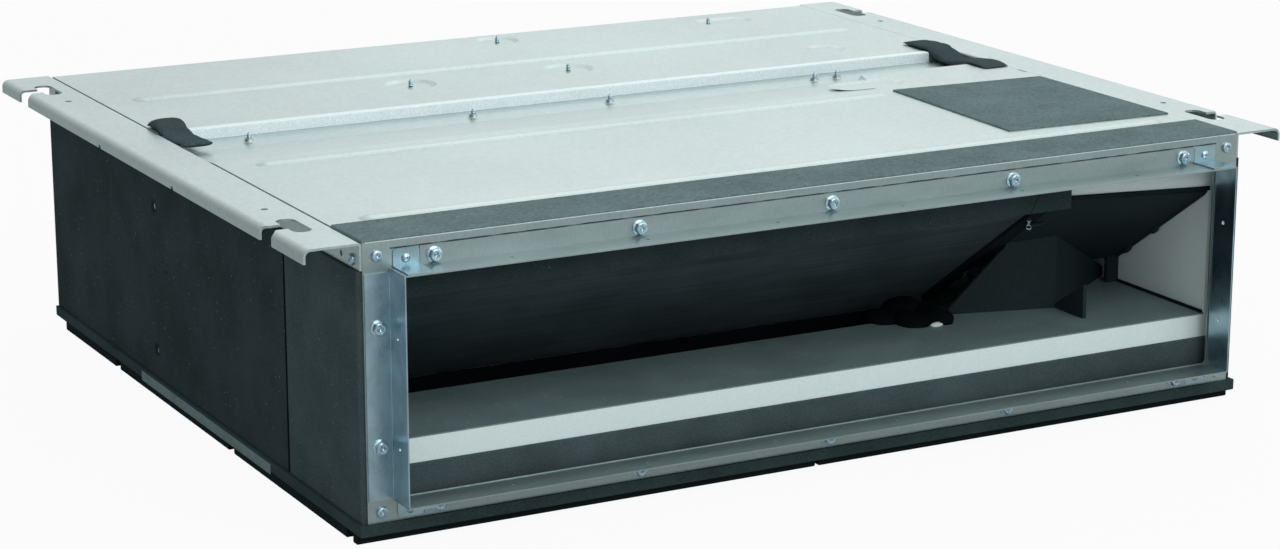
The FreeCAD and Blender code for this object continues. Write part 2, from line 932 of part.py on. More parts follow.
def fan_rotor(side):
    """Squirrel-cage wheel: forward-curved blades on a centre disc, with a ring at each end."""
    centre_x = motor_x + side * (rotor_offset + rotor_width / 2)
    x0 = centre_x - rotor_width / 2
    inner = rotor_radius - blade_depth
    middle = rotor_radius - blade_depth / 2
    half = blade_sheet / rotor_radius / 2
    bow = blade_sweep / 4

    def at(radius, angle):
        return Vector(x0 + blade_inset, fan_y + radius * math.cos(angle), fan_z + radius * math.sin(angle))

    blade_solids = []
    for i in range(blades):
        angle = 2 * math.pi * i / blades
        lead, trail = [[at(inner, angle + s), at(middle, angle + s + bow),
                        at(rotor_radius, angle + s + blade_sweep)]
                       for s in (-half, half)]
        edges = [
            Part.Arc(lead[0], lead[1], lead[2]).toShape(),
            Part.LineSegment(lead[2], trail[2]).toShape(),
            Part.Arc(trail[2], trail[1], trail[0]).toShape(),
            Part.LineSegment(trail[0], lead[0]).toShape(),
        ]
        length = rotor_width - 2 * blade_inset
        blade_solids.append(Part.Face(Part.Wire(edges)).extrude(Vector(length, 0, 0)))
    bore = shaft_radius + running_clearance
    root, rim = hub_radius + hub_flare, rotor_radius - disc_inset
    disc = [(bore, -hub_half), (hub_radius, -hub_half), (root, -disc_half), (rim, -disc_half),
            (rim, disc_half),
            (root, disc_half), (hub_radius, hub_half), (bore, hub_half)]
    pieces = [revolve(disc, Vector(centre_x, fan_y, fan_z), X, Z)]
    low, high = rotor_radius - rotor_ring, rotor_radius + rotor_ring_proud
    for start in (x0, x0 + rotor_width - rotor_ring):
        ring = rectangle(low, high, 0, rotor_ring)
        pieces.append(revolve(ring, Vector(start, fan_y, fan_z), X, Z))
    return pieces[0].multiFuse(pieces[1:] + blade_solids)


def fan_shaft():
    reach = rotor_offset + rotor_width / 2 + shaft_overrun
    return rod(Vector(motor_x - reach, fan_y, fan_z), Vector(motor_x + reach, fan_y, fan_z), shaft_radius)


def fan_motor():
    """Motor can of two pressed halves with a joint rim, and a boss at each end."""
    half = motor_length / 2
    bore = shaft_radius + running_clearance
    tip = half + boss_length
    cap, shoulder = motor_radius - motor_cap_inset, half - motor_cap_length
    rim, edge = motor_radius + motor_rim, motor_rim_half
    profile = [(bore, -tip), (boss_radius, -tip), (boss_radius, -half), (cap, -half),
               (motor_radius, -shoulder),
               (motor_radius, -edge), (rim, -edge), (rim, edge), (motor_radius, edge), (motor_radius,
                                                                                        shoulder),
               (cap, half), (boss_radius, half), (boss_radius, tip), (bore, tip)]
    return revolve(profile, Vector(motor_x, fan_y, fan_z), X, Z)


def motor_mounts():
    """Two grooved rubber rings on the motor's bosses, held in the bracket's arms."""
    rings = []
    near, far, end = mount_flange, mount_flange + bracket_sheet, 2 * mount_flange + bracket_sheet
    for side in (-1, 1):
        start = Vector(motor_x + side * (motor_length / 2 + mount_gap), fan_y, fan_z)
        profile = [(boss_radius, 0), (mount_radius, 0), (mount_radius, near), (mount_groove_radius, near),
                   (mount_groove_radius, far), (mount_radius, far), (mount_radius, end), (boss_radius, end)]
        rings.append(revolve(profile, start, Vector(side, 0, 0), Z))
    return Part.makeCompound(rings)


def motor_bracket():
    """Saddle under the top plate with an arm at each end of the motor."""
    top = bracket_top
    reach = motor_screw_reach + bracket_overrun
    half, eye_radius = bracket_half, bracket_eye
    saddle = block(motor_x - reach, motor_x + reach, fan_y - half, fan_y + half, top - bracket_sheet, top)
    root = top - bracket_sheet / 2
    web_profile = [(fan_y - half, root), (fan_y - eye_radius, fan_z), (fan_y + eye_radius, fan_z),
                   (fan_y + half, root)]
    arms = []
    for side in (-1, 1):
        x = motor_x + side * (motor_length / 2 + mount_gap + mount_flange)
        x0, x1 = sorted((x, x + side * bracket_sheet))
        web = extrude_x(web_profile, x0, x1)
        eye = rod(Vector(x0, fan_y, fan_z), Vector(x1, fan_y, fan_z), eye_radius)
        mount_hole = rod(Vector(x0 - sheet, fan_y, fan_z), Vector(x1 + sheet, fan_y, fan_z),
                         mount_groove_radius)
        arms.append(web.fuse(eye).cut(mount_hole))
    bracket = saddle.multiFuse(arms)
    for x, y in bracket_screw_places():
        hole = rod(Vector(x, y, top - 2 * bracket_sheet), Vector(x, y, top + sheet), screw_radius + hole_gap)
        bracket = bracket.cut(hole)
    return bracket.removeSplitter()


def partition_plate():
    """Upright plate between the fans and the coil, with an opening for each fan's throat."""
    path = [(joint_y + flange, 2 * sheet), (joint_y, 2 * sheet), (joint_y, groove_z - 2 * sheet),
            (joint_y - groove_floor, groove_z - 2 * sheet)]
    plate = fold_x(path, sheet, bend, sheet + bend, case_width - sheet - bend)
    low, high = throat_range()
    for side in (-1, 1):
        x0, x1 = housing_ends(side)
        opening = block(x0 - fit_gap, x1 + fit_gap, joint_y - 2 * sheet, joint_y + 2 * sheet, low - fit_gap,
                        high + fit_gap)
        plate = plate.cut(opening)
    for x in joint_screw_places():
        under = groove_z - 5 * sheet
        hole = rod(Vector(x, joint_screw_y, under), Vector(x, joint_screw_y, groove_z),
                   screw_radius + hole_gap)
        plate = plate.cut(hole)
    return plate


def window_frame(y0, y1, side, low, high, radius):
    """Rectangular plate with a window cut out of it."""
    plate = block(0, case_width, y0, y1, 0, case_height)
    window = rectangle(side, case_width - side, low, case_height - high)
    return plate.cut(extrude_y(window, y0 - sheet, y1 + sheet, radius))


def return_ring(y0, y1):
    """Folded edge that runs round inside the casing."""
    outer = block(sheet, case_width - sheet, y0, y1, sheet, plate_under)
    inner = block(2 * sheet, case_width - 2 * sheet, y0 - sheet, y1 + sheet, 2 * sheet, plate_under - sheet)
    return outer.cut(inner)


def outlet_frame():
    side, low, high = collar_side + sheet, collar_sill + ring_sill_gap, collar_head + ring_head_gap
    frame = window_frame(0, sheet, side, low, high, ring_window_round)
    frame = frame.fuse(return_ring(sheet, sheet + return_depth))
    for x, z in hex_places() + pan_places():
        frame = frame.cut(rod(Vector(x, -sheet, z), Vector(x, 2 * sheet, z), screw_radius + hole_gap))
    return frame


def hex_places():
    """Centres of the hexagon screws on the outlet ring."""
    count = int((case_width - 2 * screw_edge) // screw_pitch) + 1
    row = [mid_x + (i - (count - 1) / 2) * screw_pitch for i in range(count)]
    places = [(x, z) for x in row for z in (case_height - screw_row_drop, screw_row_rise)]
    side = collar_side / 2
    uprights = (case_height - side_screw_drop, side_screw_rise)
    places += [(x, z) for x in (side, case_width - side) for z in uprights]
    return places


def pan_places():
    columns = (corner_inset, case_width - corner_inset)
    return [(x, z) for x in columns for z in (case_height - corner_drop, corner_rise)]


def rivet_places():
    inset = lug_start + rivet_inset
    return [(x, z) for x in (inset, case_width - inset) for z in (case_height - screw_row_drop, rivet_rise)]


def collar_holes():
    return [mid_x + (i - (collar_hole_count - 1) / 2) * collar_hole_pitch for i in range(collar_hole_count)]


def duct_collar(root, outward):
    """Long L-profile over or under the outlet: a leg on the ring and a leg that carries the duct."""
    leg = block(lug_end, case_width - lug_end, -sheet, 0, *sorted((root, root + outward * collar_leg)))
    shelf = block(collar_side - sheet, duct_right + sheet, -collar_depth, 0,
                  *sorted((root, root + outward * sheet)))
    profile = leg.fuse(shelf)
    for x, z in hex_places():
        profile = profile.cut(rod(Vector(x, -2 * sheet, z), Vector(x, sheet, z), screw_radius + hole_gap))
    y = -collar_depth / 2
    for x in collar_holes():
        profile = profile.cut(rod(Vector(x, y, root - 2 * sheet), Vector(x, y, root + 2 * sheet),
                                  collar_hole_radius))
    return profile


def duct_collar_top():
    return duct_collar(duct_top, 1)


def duct_collar_bottom():
    return duct_collar(collar_sill, -1)


def duct_collar_left():
    """Short L-profile beside the outlet, relieved at its top for the long profile."""
    path = [(collar_edge, 0), (collar_side, 0), (collar_side, -collar_depth)]
    upright = fold_z(path, sheet, collar_bend, collar_sill, duct_top)
    relief_z = duct_top - collar_relief
    upright = upright.cut(block(0, collar_side - sheet, -2 * sheet, sheet, relief_z, duct_top + sheet))
    for x, z in hex_places():
        upright = upright.cut(rod(Vector(x, -2 * sheet, z), Vector(x, sheet, z), screw_radius + hole_gap))
    y = -collar_depth / 2
    for z in (case_height - collar_side_hole_drop, collar_side_hole_rise):
        hole = rod(Vector(collar_side - 2 * sheet, y, z), Vector(collar_side + 2 * sheet, y, z),
                   collar_hole_radius)
        upright = upright.cut(hole)
    return upright


def duct_collar_right():
    return mirrored(duct_collar_left())


def collar_lugs():
    """Corner angles that tie the long and the short collar profiles together."""
    lugs = []
    x0, x1 = lug_start, lug_end - lug_gap
    for root, outward in ((duct_top + sheet, 1), (collar_sill - sheet, -1)):
        tip = root + outward * (collar_leg - sheet)
        face = extrude_y(rectangle(x0, x1, root, tip), -sheet, 0, [0, 0, lug_round, lug_round])
        wing = block(x0, x1, -collar_depth, 0, *sorted((root, root + outward * sheet)))
        lugs.append(face.fuse(wing))
    lugs += [mirrored(lug) for lug in lugs]
    drilled_lugs = []
    for lug in lugs:
        for x, z in rivet_places():
            lug = lug.cut(rod(Vector(x, -2 * sheet, z), Vector(x, sheet, z), rivet_radius + hole_gap))
        drilled_lugs.append(lug)
    return Part.makeCompound(drilled_lugs)


def lug_rivets():
    """Dome-headed rivets through the corner angles and the ring."""
    rivets = []
    for x, z in rivet_places():
        head = [(0, sheet + rivet_head), (rivet_top_radius, sheet + rivet_shoulder),
                (rivet_head_radius, sheet),
                (rivet_radius, sheet), (rivet_radius, 0), (0, 0)]
        rivets.append(revolve(head, Vector(x, 0, z), Vector(0, -1, 0), Z))
    return Part.makeCompound(rivets)


def hex_screw(x, z):
    """Hexagon head with a pressed washer, its shank through the profile and the ring."""
    under_head = Vector(x, -sheet - hex_washer, z)
    washer = Part.makeCylinder(washer_radius, hex_washer, under_head, Y)
    head = hexagon(under_head, hex_flats, X, Z, Vector(0, -hex_head, 0))
    shank = Part.makeCylinder(screw_radius, hex_shank, Vector(x, -sheet, z), Y)
    return washer.multiFuse([head, shank])


def hex_screws():
    return Part.makeCompound([hex_screw(x, z) for x, z in hex_places()])


def tapping_screw(seat, along, length):
    """Pan head on the seat, and a shank that runs on past it with a short point."""
    profile = [(0, -pan_head), (pan_top_radius, -pan_head), (pan_head_radius, 0), (screw_radius, 0),
               (screw_radius, length - screw_point), (0, length)]
    across = Z if abs(along.z) < 0.5 else X
    return revolve(profile, seat, along, across)


def rail_screw_places():
    return [rail_screw_front, case_depth - rail_screw_back]


def tapping_screws():
    """Corner, groove, bracket, frame, rail and cover screws."""
    screws = [tapping_screw(Vector(x, 0, z), Y, corner_screw_length) for x, z in pan_places()]
    inward = Vector(-1, 0, 0)
    for x in joint_screw_places():
        seat = Vector(x, joint_screw_y, groove_z - 2 * sheet)
        screws.append(tapping_screw(seat, Z, groove_drop + groove_screw_proud))
    for x, y in bracket_screw_places():
        screws.append(tapping_screw(Vector(x, y, bracket_top - bracket_sheet), Z, bracket_screw_length))
    for x, y in frame_screw_places():
        screws.append(tapping_screw(Vector(x, y, bracket_top), Z, frame_screw_length))
    for y in rail_screw_places():
        z = case_height - rail_screw_drop
        screws.append(tapping_screw(Vector(-rail_sheet, y, z), X, rail_sheet + sheet))
        screws.append(tapping_screw(Vector(case_width + rail_sheet, y, z), inward, rail_sheet + sheet))
    for y, z in cover_screw_places():
        screws.append(tapping_screw(Vector(case_width + cover_sheet, y, z), inward, cover_sheet + 2 * sheet))
    return Part.makeCompound(screws)


def slot_places():
    return [slot_from_front, case_depth - slot_from_back]


def hanger_rail_left():
    """Rail along the top edge: upright flange, ledge with two open slots and a rolled outer lip."""
    edge_z = case_height - rail_lip
    path = [(-rail_reach, edge_z), (-rail_reach, case_height), (0, case_height),
            (0, case_height - rail_flange)]
    rail = fold_y(path, rail_sheet, [rail_lip_bend, bend], rail_start, case_depth + rail_tail)
    low, high = edge_z - sheet, case_height + sheet
    narrow, wide = entry_width / 2, entry_width / 2 + entry_flare
    outside, flat, deep = -rail_reach - sheet, entry_flat - rail_reach, entry_deep - rail_reach
    for y in slot_places():
        rail = rail.cut(stadium(-slot_out, y, slot_width, slot_length, low, high))
        mouth = [(outside, y - wide), (flat, y - wide), (deep, y - narrow), (-slot_out, y - narrow),
                 (-slot_out, y + narrow), (deep, y + narrow), (flat, y + wide), (outside, y + wide)]
        lip, throat = entry_lip_round, entry_throat_round
        rail = rail.cut(extrude_z(mouth, low, high, [0, lip, throat, 0, 0, throat, lip, 0]))
    for y in (slot_from_front + rail_hole_front, case_depth - slot_from_back - rail_hole_back):
        rail = rail.cut(rod(Vector(-slot_out, y, case_height - 2 * rail_sheet), Vector(-slot_out, y, high),
                            rail_hole_radius))
    for y in (rail_notch_front, rail_notch_back):
        notch = rod(Vector(-rail_reach - sheet, y, edge_z), Vector(2 * rail_sheet - rail_reach, y, edge_z),
                    rail_notch_radius)
        rail = rail.cut(notch)
    z = case_height - rail_screw_drop
    for y in rail_screw_places() + [rail_screw_front + rail_spare_hole]:
        rail = rail.cut(rod(Vector(-2 * rail_sheet, y, z), Vector(sheet, y, z), screw_radius + hole_gap))
    return rail


def hanger_rail_right():
    return mirrored(hanger_rail_left())


def skin_block(y0, y1):
    """Foam sheet on the side of the casing, up to the rail's flange."""
    top = case_height - rail_flange - fit_gap
    return extrude_y(rectangle(-skin, 0, 0, top), y0, y1, [0, 0, 0, skin_round])


def side_insulation_left_front():
    return skin_block(skin_start, skin_seam)


def side_insulation_left_rear():
    foam = skin_block(skin_seam + skin_seam_gap, case_depth)
    holes = [
        (joint_y + peep_high_back, case_height - peep_high_drop, peep_radius),
        (joint_y + peep_low_back, peep_low_rise, peep_radius),
        (joint_y - pin_front, pin_rise, pin_radius),
    ]
    for y, z, radius in holes:
        foam = foam.cut(rod(Vector(-skin - sheet, y, z), Vector(sheet, y, z), radius))
    return foam


def side_insulation_right():
    """Right-hand foam sheet, cut out round the control box cover and the pipes."""
    foam = mirrored(skin_block(skin_start, case_depth))
    margin = cover_margin + box_skin_gap
    inner, outer = case_width - sheet, case_width + skin + sheet
    foam = foam.cut(block(inner, outer, box_front - margin, box_back + margin, box_low - margin,
                          box_high + margin))
    for y, z, radius in pipe_places():
        foam = foam.cut(rod(Vector(inner, y, z), Vector(outer, y, z), radius + skin_pipe_gap))
    return foam


def base_insulation():
    proud = base_foam_proud
    outline = rectangle(-proud, case_width + proud, -base_foam_front, case_depth)
    return extrude_z(outline, -base_foam, 0, base_foam_round)


def base_pads():
    """Lower foam layer, laid in strips with small gaps between them."""
    second = pad_first_row + pad_second_row
    edges_y = [pad_front, pad_front + pad_first_row, second, second + pad_third_row, case_depth - pad_back]
    edges_x = [-base_pad_proud, mid_x - pad_seam_left, case_width + base_pad_proud]
    half = pad_gap / 2
    pads = []
    for x0, x1 in zip(edges_x, edges_x[1:]):
        for y0, y1 in zip(edges_y, edges_y[1:]):
            pads.append(block(x0 + half, x1 - half, y0 + half, y1 - half, -base_height, -base_foam))
    return Part.makeCompound(pads)


def top_foam_strip():
    outline = rectangle(0, case_width, top_foam_start, top_strip_depth)
    return extrude_z(outline, case_height, case_height + top_foam, [0, 0, top_foam_round, top_foam_round])


def top_foam_pad():
    outline = [(case_width - top_pad_left, top_pad_front + top_pad_front_skew),
               (case_width - top_pad_right, top_pad_front),
               (case_width - top_pad_tail_right, top_pad_back - top_pad_back_skew),
               (case_width - top_pad_tail_left, top_pad_back)]
    return extrude_z(outline, case_height, case_height + top_foam, top_foam_round)


def joint_foam_left():
    """Foam tongue bedded on the rear plate: it bulges at the joint and its front end stands free."""
    z, t, reach, bed = case_height, top_foam, tongue_left_reach, tongue_left_bed
    under = [(joint_y + bed, z), (joint_y, z), (joint_y - 0.1 * reach, z - t),
             (joint_y - 0.45 * reach, z - 1.1 * t),
             (joint_y - reach, z - 0.37 * t)]
    over = [(joint_y - 1.01 * reach, z + 0.97 * t), (joint_y - 0.46 * reach, z + 0.33 * t),
            (joint_y - 0.17 * reach, z + 0.67 * t), (joint_y + 0.11 * reach, z + 2.8 * t),
            (joint_y + 0.41 * reach, z + 2 * t), (joint_y + bed, z + 0.67 * t)]
    radii = [share * t for share in (0, 0.67, 1, 6.7, 0, 0, 5.3, 2, 2.7, 0.67, 0.33)]
    return extrude_x(under + over, fit_gap, tongue_left_width, radii)


def joint_foam_right():
    """Foam tongue that dips into the groove and climbs on to the front plate's edge."""
    z, g, t, reach, bed = case_height, groove_z, top_foam, tongue_right_reach, tongue_right_bed
    drop_end = plateau_edge + groove_drop
    under = [(joint_y + bed, z), (joint_y, z), (joint_y - 0.67 * t, g + 0.5 * t),
             (drop_end + 1.33 * t, g + 0.33 * t),
             (plateau_edge + 0.33 * t, z), (plateau_edge - reach, z)]
    over = [(plateau_edge - reach, z + 0.53 * t), (plateau_edge - 0.38 * reach, z + 1.33 * t),
            (joint_y - 6.7 * t, g + 1.83 * t), (joint_y + 2 * t, z + 1.67 * t), (joint_y + bed, z + t)]
    radii = [share * t for share in (0, 0.67, 1, 1.67, 0, 0, 0, 2.67, 4, 2.67, 0)]
    return extrude_x(under + over, case_width - tongue_right_width, case_width - fit_gap, radii)


def sill_insulation():
    """Foam strips behind the ring: one on the pan's front, one on the lining's head over the coil."""
    front, back = pan_front - seal, pan_front
    sill = block(pan_x0, pan_x1, front, back, pan_bed, sill_seal_height)
    head_right = case_width - head_seal_right
    top = plate_under - sheet - seal_gap
    head = block(pan_x0 + lining, head_right, front, back, case_height - head_seal_drop, top)
    return Part.makeCompound([sill, head])


def drain_pan():
    """Moulded tray: wide front lip, trough under the coil and a sump at the right."""
    back = trough_back + pan_wall
    sump_left = float_x - sump_margin
    floor = pan_bed + pan_floor
    step, far = sump_left - pan_wall, sump_back + pan_wall
    outline = [(pan_x0, pan_front), (pan_x1, pan_front), (pan_x1, far), (step, far), (step, back),
               (pan_x0, back)]
    tray = extrude_z(outline, pan_bed, pan_top, [0, 0] + [pan_round] * 4)
    open_z = pan_top + sheet
    section = [(trough_front, open_z), (trough_front + trough_slope, floor), (trough_back, floor),
               (trough_back, open_z)]
    trough = extrude_x(section, pan_x0 + pan_wall, sump_left + trough_into_sump,
                       [0, trough_round, trough_round, 0])
    sump = extrude_z(rectangle(sump_left, pan_x1 - pan_wall, sump_front, sump_back), floor, open_z,
                     sump_round)
    return tray.cut(trough).cut(sump)


def drain_pan_film():
    """Grey film over the pan's front lip."""
    x0, x1 = pan_x0 + lining, pan_x1 - lining
    turn = float_x + film_turn
    outline = [(x0, pan_front), (x1, pan_front), (x1, sump_front), (turn, sump_front), (turn, trough_front),
               (x0, trough_front)]
    return extrude_z(outline, pan_top, pan_top + film)


def outlet_lining():
    """Moulded white foam: a head and both side walls, seated on the coil's upper end."""
    top = plate_under - sheet
    front = on_coil(0, -coil_seat, -cover_thick)
    seat = on_coil(0, -coil_seat, coil_thick + coil_seat)
    tail = on_coil(0, lining_tail, coil_thick + coil_seat)
    head = [(pan_front, front.z), (front.y, front.z), (seat.y, seat.z), (tail.y, tail.z),
            (tail.y + lining, top),
            (pan_front, top)]
    body = extrude_x(head, pan_x0, pan_x1)
    for start in (pan_x0, pan_x1 - lining):
        body = body.fuse(block(start, start + lining, pan_front, trough_back + pan_wall, pan_top, top))
    right = pan_x1 - lining
    wedge = [(cover_left + strip_gap, front.z + sheet), (cover_left + strip_gap, front.z),
             (right, front.z - wedge_fall),
             (right, front.z + sheet)]
    body = body.fuse(extrude_y(wedge, pan_front, front.y))
    for y, z, radius in pipe_places()[:2]:
        body = body.cut(rod(Vector(right - sheet, y, z), Vector(case_width, y, z), radius + sheet))
    return body.removeSplitter()


def on_coil(x, along, above):
    """Point on the leaning coil: distance down its slope, and height above its lower face."""
    y = coil_top_y + along * math.cos(lean) + above * math.sin(lean)
    z = coil_top_z - along * math.sin(lean) + above * math.cos(lean)
    return Vector(x, y, z)


def coil_slab(x0, x1, start, end, low, high):
    corners = [on_coil(x0, a, n) for a, n in rectangle(start, end, low, high)]
    return Part.Face(Part.makePolygon(corners + corners[:1])).extrude(Vector(x1 - x0, 0, 0))


def tube_centres():
    """Distance down the slope and height of each tube: two rows, half a stage apart."""
    rows = []
    for row in range(2):
        shift = 0.25 if row == 0 else 0.75
        rows.append([((i + shift) * stage_pitch, (row + 0.5) * row_pitch) for i in range(stages)])
    return rows


def drilled(slab, x0, x1):
    for row in tube_centres():
        for along, above in row:
            start, end = on_coil(x0 - sheet, along, above), on_coil(x1 + sheet, along, above)
            slab = slab.cut(rod(start, end, tube_radius + tube_clearance))
    return slab


def coil_fins():
    return drilled(coil_slab(coil_left, coil_right, 0, coil_length, 0, coil_thick), coil_left, coil_right)


def coil_end_plate(x0, x1):
    """End plate that meets the lining at its top and stands on the pan with a foot."""
    plate = coil_slab(x0, x1, -coil_seat, coil_length + end_plate_tail, 0, coil_thick + coil_seat)
    heel = on_coil(x0, coil_length, 0)
    foot = block(x0, x1, heel.y - end_plate_heel, heel.y + end_plate_toe, pan_bed + pan_floor,
                 heel.z + end_plate_toe)
    return drilled(plate.fuse(foot).removeSplitter(), x0, x1)


def coil_end_plate_left():
    return coil_end_plate(coil_left - end_plate, coil_left)


def coil_end_plate_right():
    return coil_end_plate(coil_right, coil_right + end_plate)


def half_bend(way, a, b):
    """Return bend between two tube ends, standing out of the end plate."""
    centre = a.add(b).multiply(0.5)
    swing = b.sub(a).normalize().cross(Vector(way, 0, 0))
    circle = Part.Wire(Part.Circle(a, Vector(way, 0, 0), tube_radius).toShape())
    return Part.Face(circle).revolve(centre, swing, -180)


def coil_tubes():
    """Copper hairpins through the fins, joined by return bends outside the end plates."""
    lower, upper = tube_centres()
    left, right = coil_left - end_plate - bend_start, coil_right + end_plate + bend_start
    tubes = [rod(on_coil(left, *centre), on_coil(right, *centre), tube_radius) for centre in lower + upper]
    for low, high in zip(lower[1:], upper):
        tubes.append(half_bend(-1, on_coil(left, *low), on_coil(left, *high)))
    for i in range(stages):
        if i not in fed_stages():
            tubes.append(half_bend(1, on_coil(right, *lower[i]), on_coil(right, *upper[i])))
    for i in fed_stages()[::2]:
        tubes.append(half_bend(1, on_coil(right, *lower[i]), on_coil(right, *lower[i + 1])))
    return tubes[0].multiFuse(tubes[1:])


def fed_stages():
    """Stages whose upper tubes join the liquid and the gas headers, two of each."""
    return [2, 3, stages - 3, stages - 2]


def pipe_places():
    """Where the gas pipe, the liquid pipe and the drain socket leave the right side."""
    places = []
    for pair, radius in ((fed_stages()[2:], gas_radius), (fed_stages()[:2], liquid_radius)):
        along = sum(tube_centres()[1][i][0] for i in pair) / 2
        centre = on_coil(0, along, coil_thick + header_rise)
        places.append((centre.y, centre.z, radius))
    return places + [(pump_y, socket_z, socket_radius)]


def service_pipe(place, pair, header_radius):
    """Header on the coil's upper face, its two feeders, and the pipe from it to the flare outside."""
    y, z, radius = place
    start = coil_right + end_plate + bend_start
    header_x = start + header_reach
    above = coil_thick + header_rise
    first, last = [tube_centres()[1][i] for i in pair]
    header = rod(on_coil(header_x, first[0] - header_overrun, above),
                 on_coil(header_x, last[0] + header_overrun, above),
                 header_radius)
    mouth = Vector(case_width + skin + pipe_out, y, z)
    pieces = [rod(Vector(header_x, y, z), mouth, radius)]
    pieces.append(Part.makeCone(radius, radius + flare_wide, flare_long, mouth, X))
    for feed in (first, last):
        corner = on_coil(header_x, *feed)
        pieces.append(rod(on_coil(start, *feed), corner, tube_radius))
        pieces.append(Part.makeSphere(tube_radius, corner))
        pieces.append(rod(corner, on_coil(header_x, feed[0], above), tube_radius))
    return header.multiFuse(pieces)


def gas_pipe():
    return service_pipe(pipe_places()[0], fed_stages()[2:], gas_header_radius)


def liquid_pipe():
    return service_pipe(pipe_places()[1], fed_stages()[:2], liquid_header_radius)


def flare_nuts():
    """Hexagon nuts with a round neck, loose on the two pipes behind their flares."""
    nuts = []
    start = case_width + skin + pipe_out - nut_back
    for (y, z, radius), flats in zip(pipe_places()[:2], (gas_nut_flats, liquid_nut_flats)):
        body = hexagon(Vector(start, y, z), flats, Y, Z, Vector(nut_length, 0, 0))
        neck = rod(Vector(start - nut_neck, y, z), Vector(start, y, z), radius + nut_neck_wall)
        ends = Vector(start - nut_neck - sheet, y, z), Vector(start + nut_length + sheet, y, z)
        nuts.append(body.fuse(neck).cut(rod(*ends, radius + running_clearance)))
    return Part.makeCompound(nuts)


def cover_plane(x, along, above):
    """Point on the end cover, which falls away from the coil's face towards the right wall."""
    share = (x - cover_left) / (cover_wall - cover_left)
    return on_coil(x, along, above - cover_fall * share)


def cover_slab(low, high, x0, x1, start, end):
    corners = rectangle(x0, x1, start, end)
    lower = Part.makePolygon([cover_plane(x, s, low) for x, s in corners + corners[:1]])
    upper = Part.makePolygon([cover_plane(x, s, high) for x, s in corners + corners[:1]])
    return Part.makeLoft([lower, upper], True, True)


def coil_end_cover():
    """Black cover below the coil's piping end: slanted plate, skirt on the pan, gusset and leg."""
    far = case_depth
    foot, tall = pan_top + film, coil_top_z
    plate = cover_slab(-cover_thick, 0, cover_left, cover_wall, cover_top, cover_end)
    line = [(skirt_x, skirt_left_back), (gusset_x, gusset_back), (cover_wall, skirt_wall_back)]
    skirt = extrude_z(line + [(x, y + skirt_thick) for x, y in line[::-1]], foot, tall)
    beside = skirt_x - strip_width
    slant = [(beside, foot), (skirt_x, foot), (cover_left, foot + skirt_rise), (cover_left, tall),
             (beside, tall)]
    skirt = skirt.cut(extrude_y(slant, 0, far))
    behind = gusset_back + skirt_thick
    triangle = [(gusset_front, foot), (gusset_front, foot + gusset_height), (behind, foot + gusset_root),
                (behind, foot)]
    gusset = extrude_x(triangle, gusset_x, gusset_x + cover_thick)
    leg = block(cover_wall - leg_width, cover_wall, leg_front, leg_front + leg_thick, foot, tall)
    over = cover_slab(-cover_thick + cover_bite, far, beside, case_width, -far, far)
    supports = skirt.multiFuse([gusset, leg]).cut(over)
    under_coil = coil_slab(beside, cover_left + sheet, -far, far, -cover_thick - strip_gap, far)
    return plate.fuse(supports.cut(under_coil)).removeSplitter()


def cover_edge_strip():
    """Foam strip along the coil's end, and a narrow band that closes the gap under the lining's head."""
    start, end = cover_top, cover_top + strip_length
    right = cover_left - strip_gap
    edge = coil_slab(coil_right - strip_tuck, right, start, end, -cover_thick, 0)
    edge = edge.fuse(coil_slab(coil_right + end_plate + strip_plate_gap, right, start, end, -cover_thick,
                               strip_fill))
    low = on_coil(0, -coil_seat, -cover_thick).z - seal_gap
    x0, x1 = cover_left + band_inset, pan_x1 - lining - seal_gap
    profile = [(x0, low), (x1, low - band_fall), (x1, low - band_fall + band_height), (x0, low + band_height)]
    band = extrude_y(profile, pan_front - seal, pan_front)
    return Part.makeCompound([edge, band])


def drain_pump():
    """Pump body: motor can, shelf fixed to the partition, cup at the foot and outlet nozzle."""
    bore = wheel_shaft + running_clearance
    low, shelf_z = pump_cup, pump_shelf_z
    inside, roof = pump_cup_radius - pump_cup_wall, low + pump_cup_height - pump_cup_wall
    body = [(bore, roof), (bore, low + pump_bore_height), (0, low + pump_bore_height), (0, shelf_z),
            (pump_can_radius, shelf_z), (pump_can_radius, low + pump_can_low), (pump_neck_radius,
                                                                                low + pump_neck_high),
            (pump_neck_radius, low + pump_neck_low), (pump_cup_radius,
                                                      low + pump_cup_height), (pump_cup_radius, low),
            (inside, low), (inside, roof)]
    pump = revolve(body, Vector(pump_x, pump_y, 0), Z, X)
    x0, x1 = float_x - pump_shelf_left, pump_x + pump_shelf_right
    shelf = block(x0, x1, pump_y - pump_shelf_front, joint_y, shelf_z, shelf_z + pump_shelf_sheet)
    shelf = shelf.fuse(block(x0, x1, joint_y - pump_shelf_sheet, joint_y, shelf_z, shelf_z + pump_shelf_lug))
    nozzle = rod(Vector(pump_x + nozzle_start, pump_y, socket_z),
                 Vector(pump_x + nozzle_end, pump_y, socket_z),
                 nozzle_radius)
    stem_hole = rod(Vector(float_x, pump_y, shelf_z - sheet),
                    Vector(float_x, pump_y, shelf_z + 2 * pump_shelf_sheet),
                    stem_radius + float_bore_gap)
    return pump.multiFuse([shelf.cut(stem_hole), nozzle])


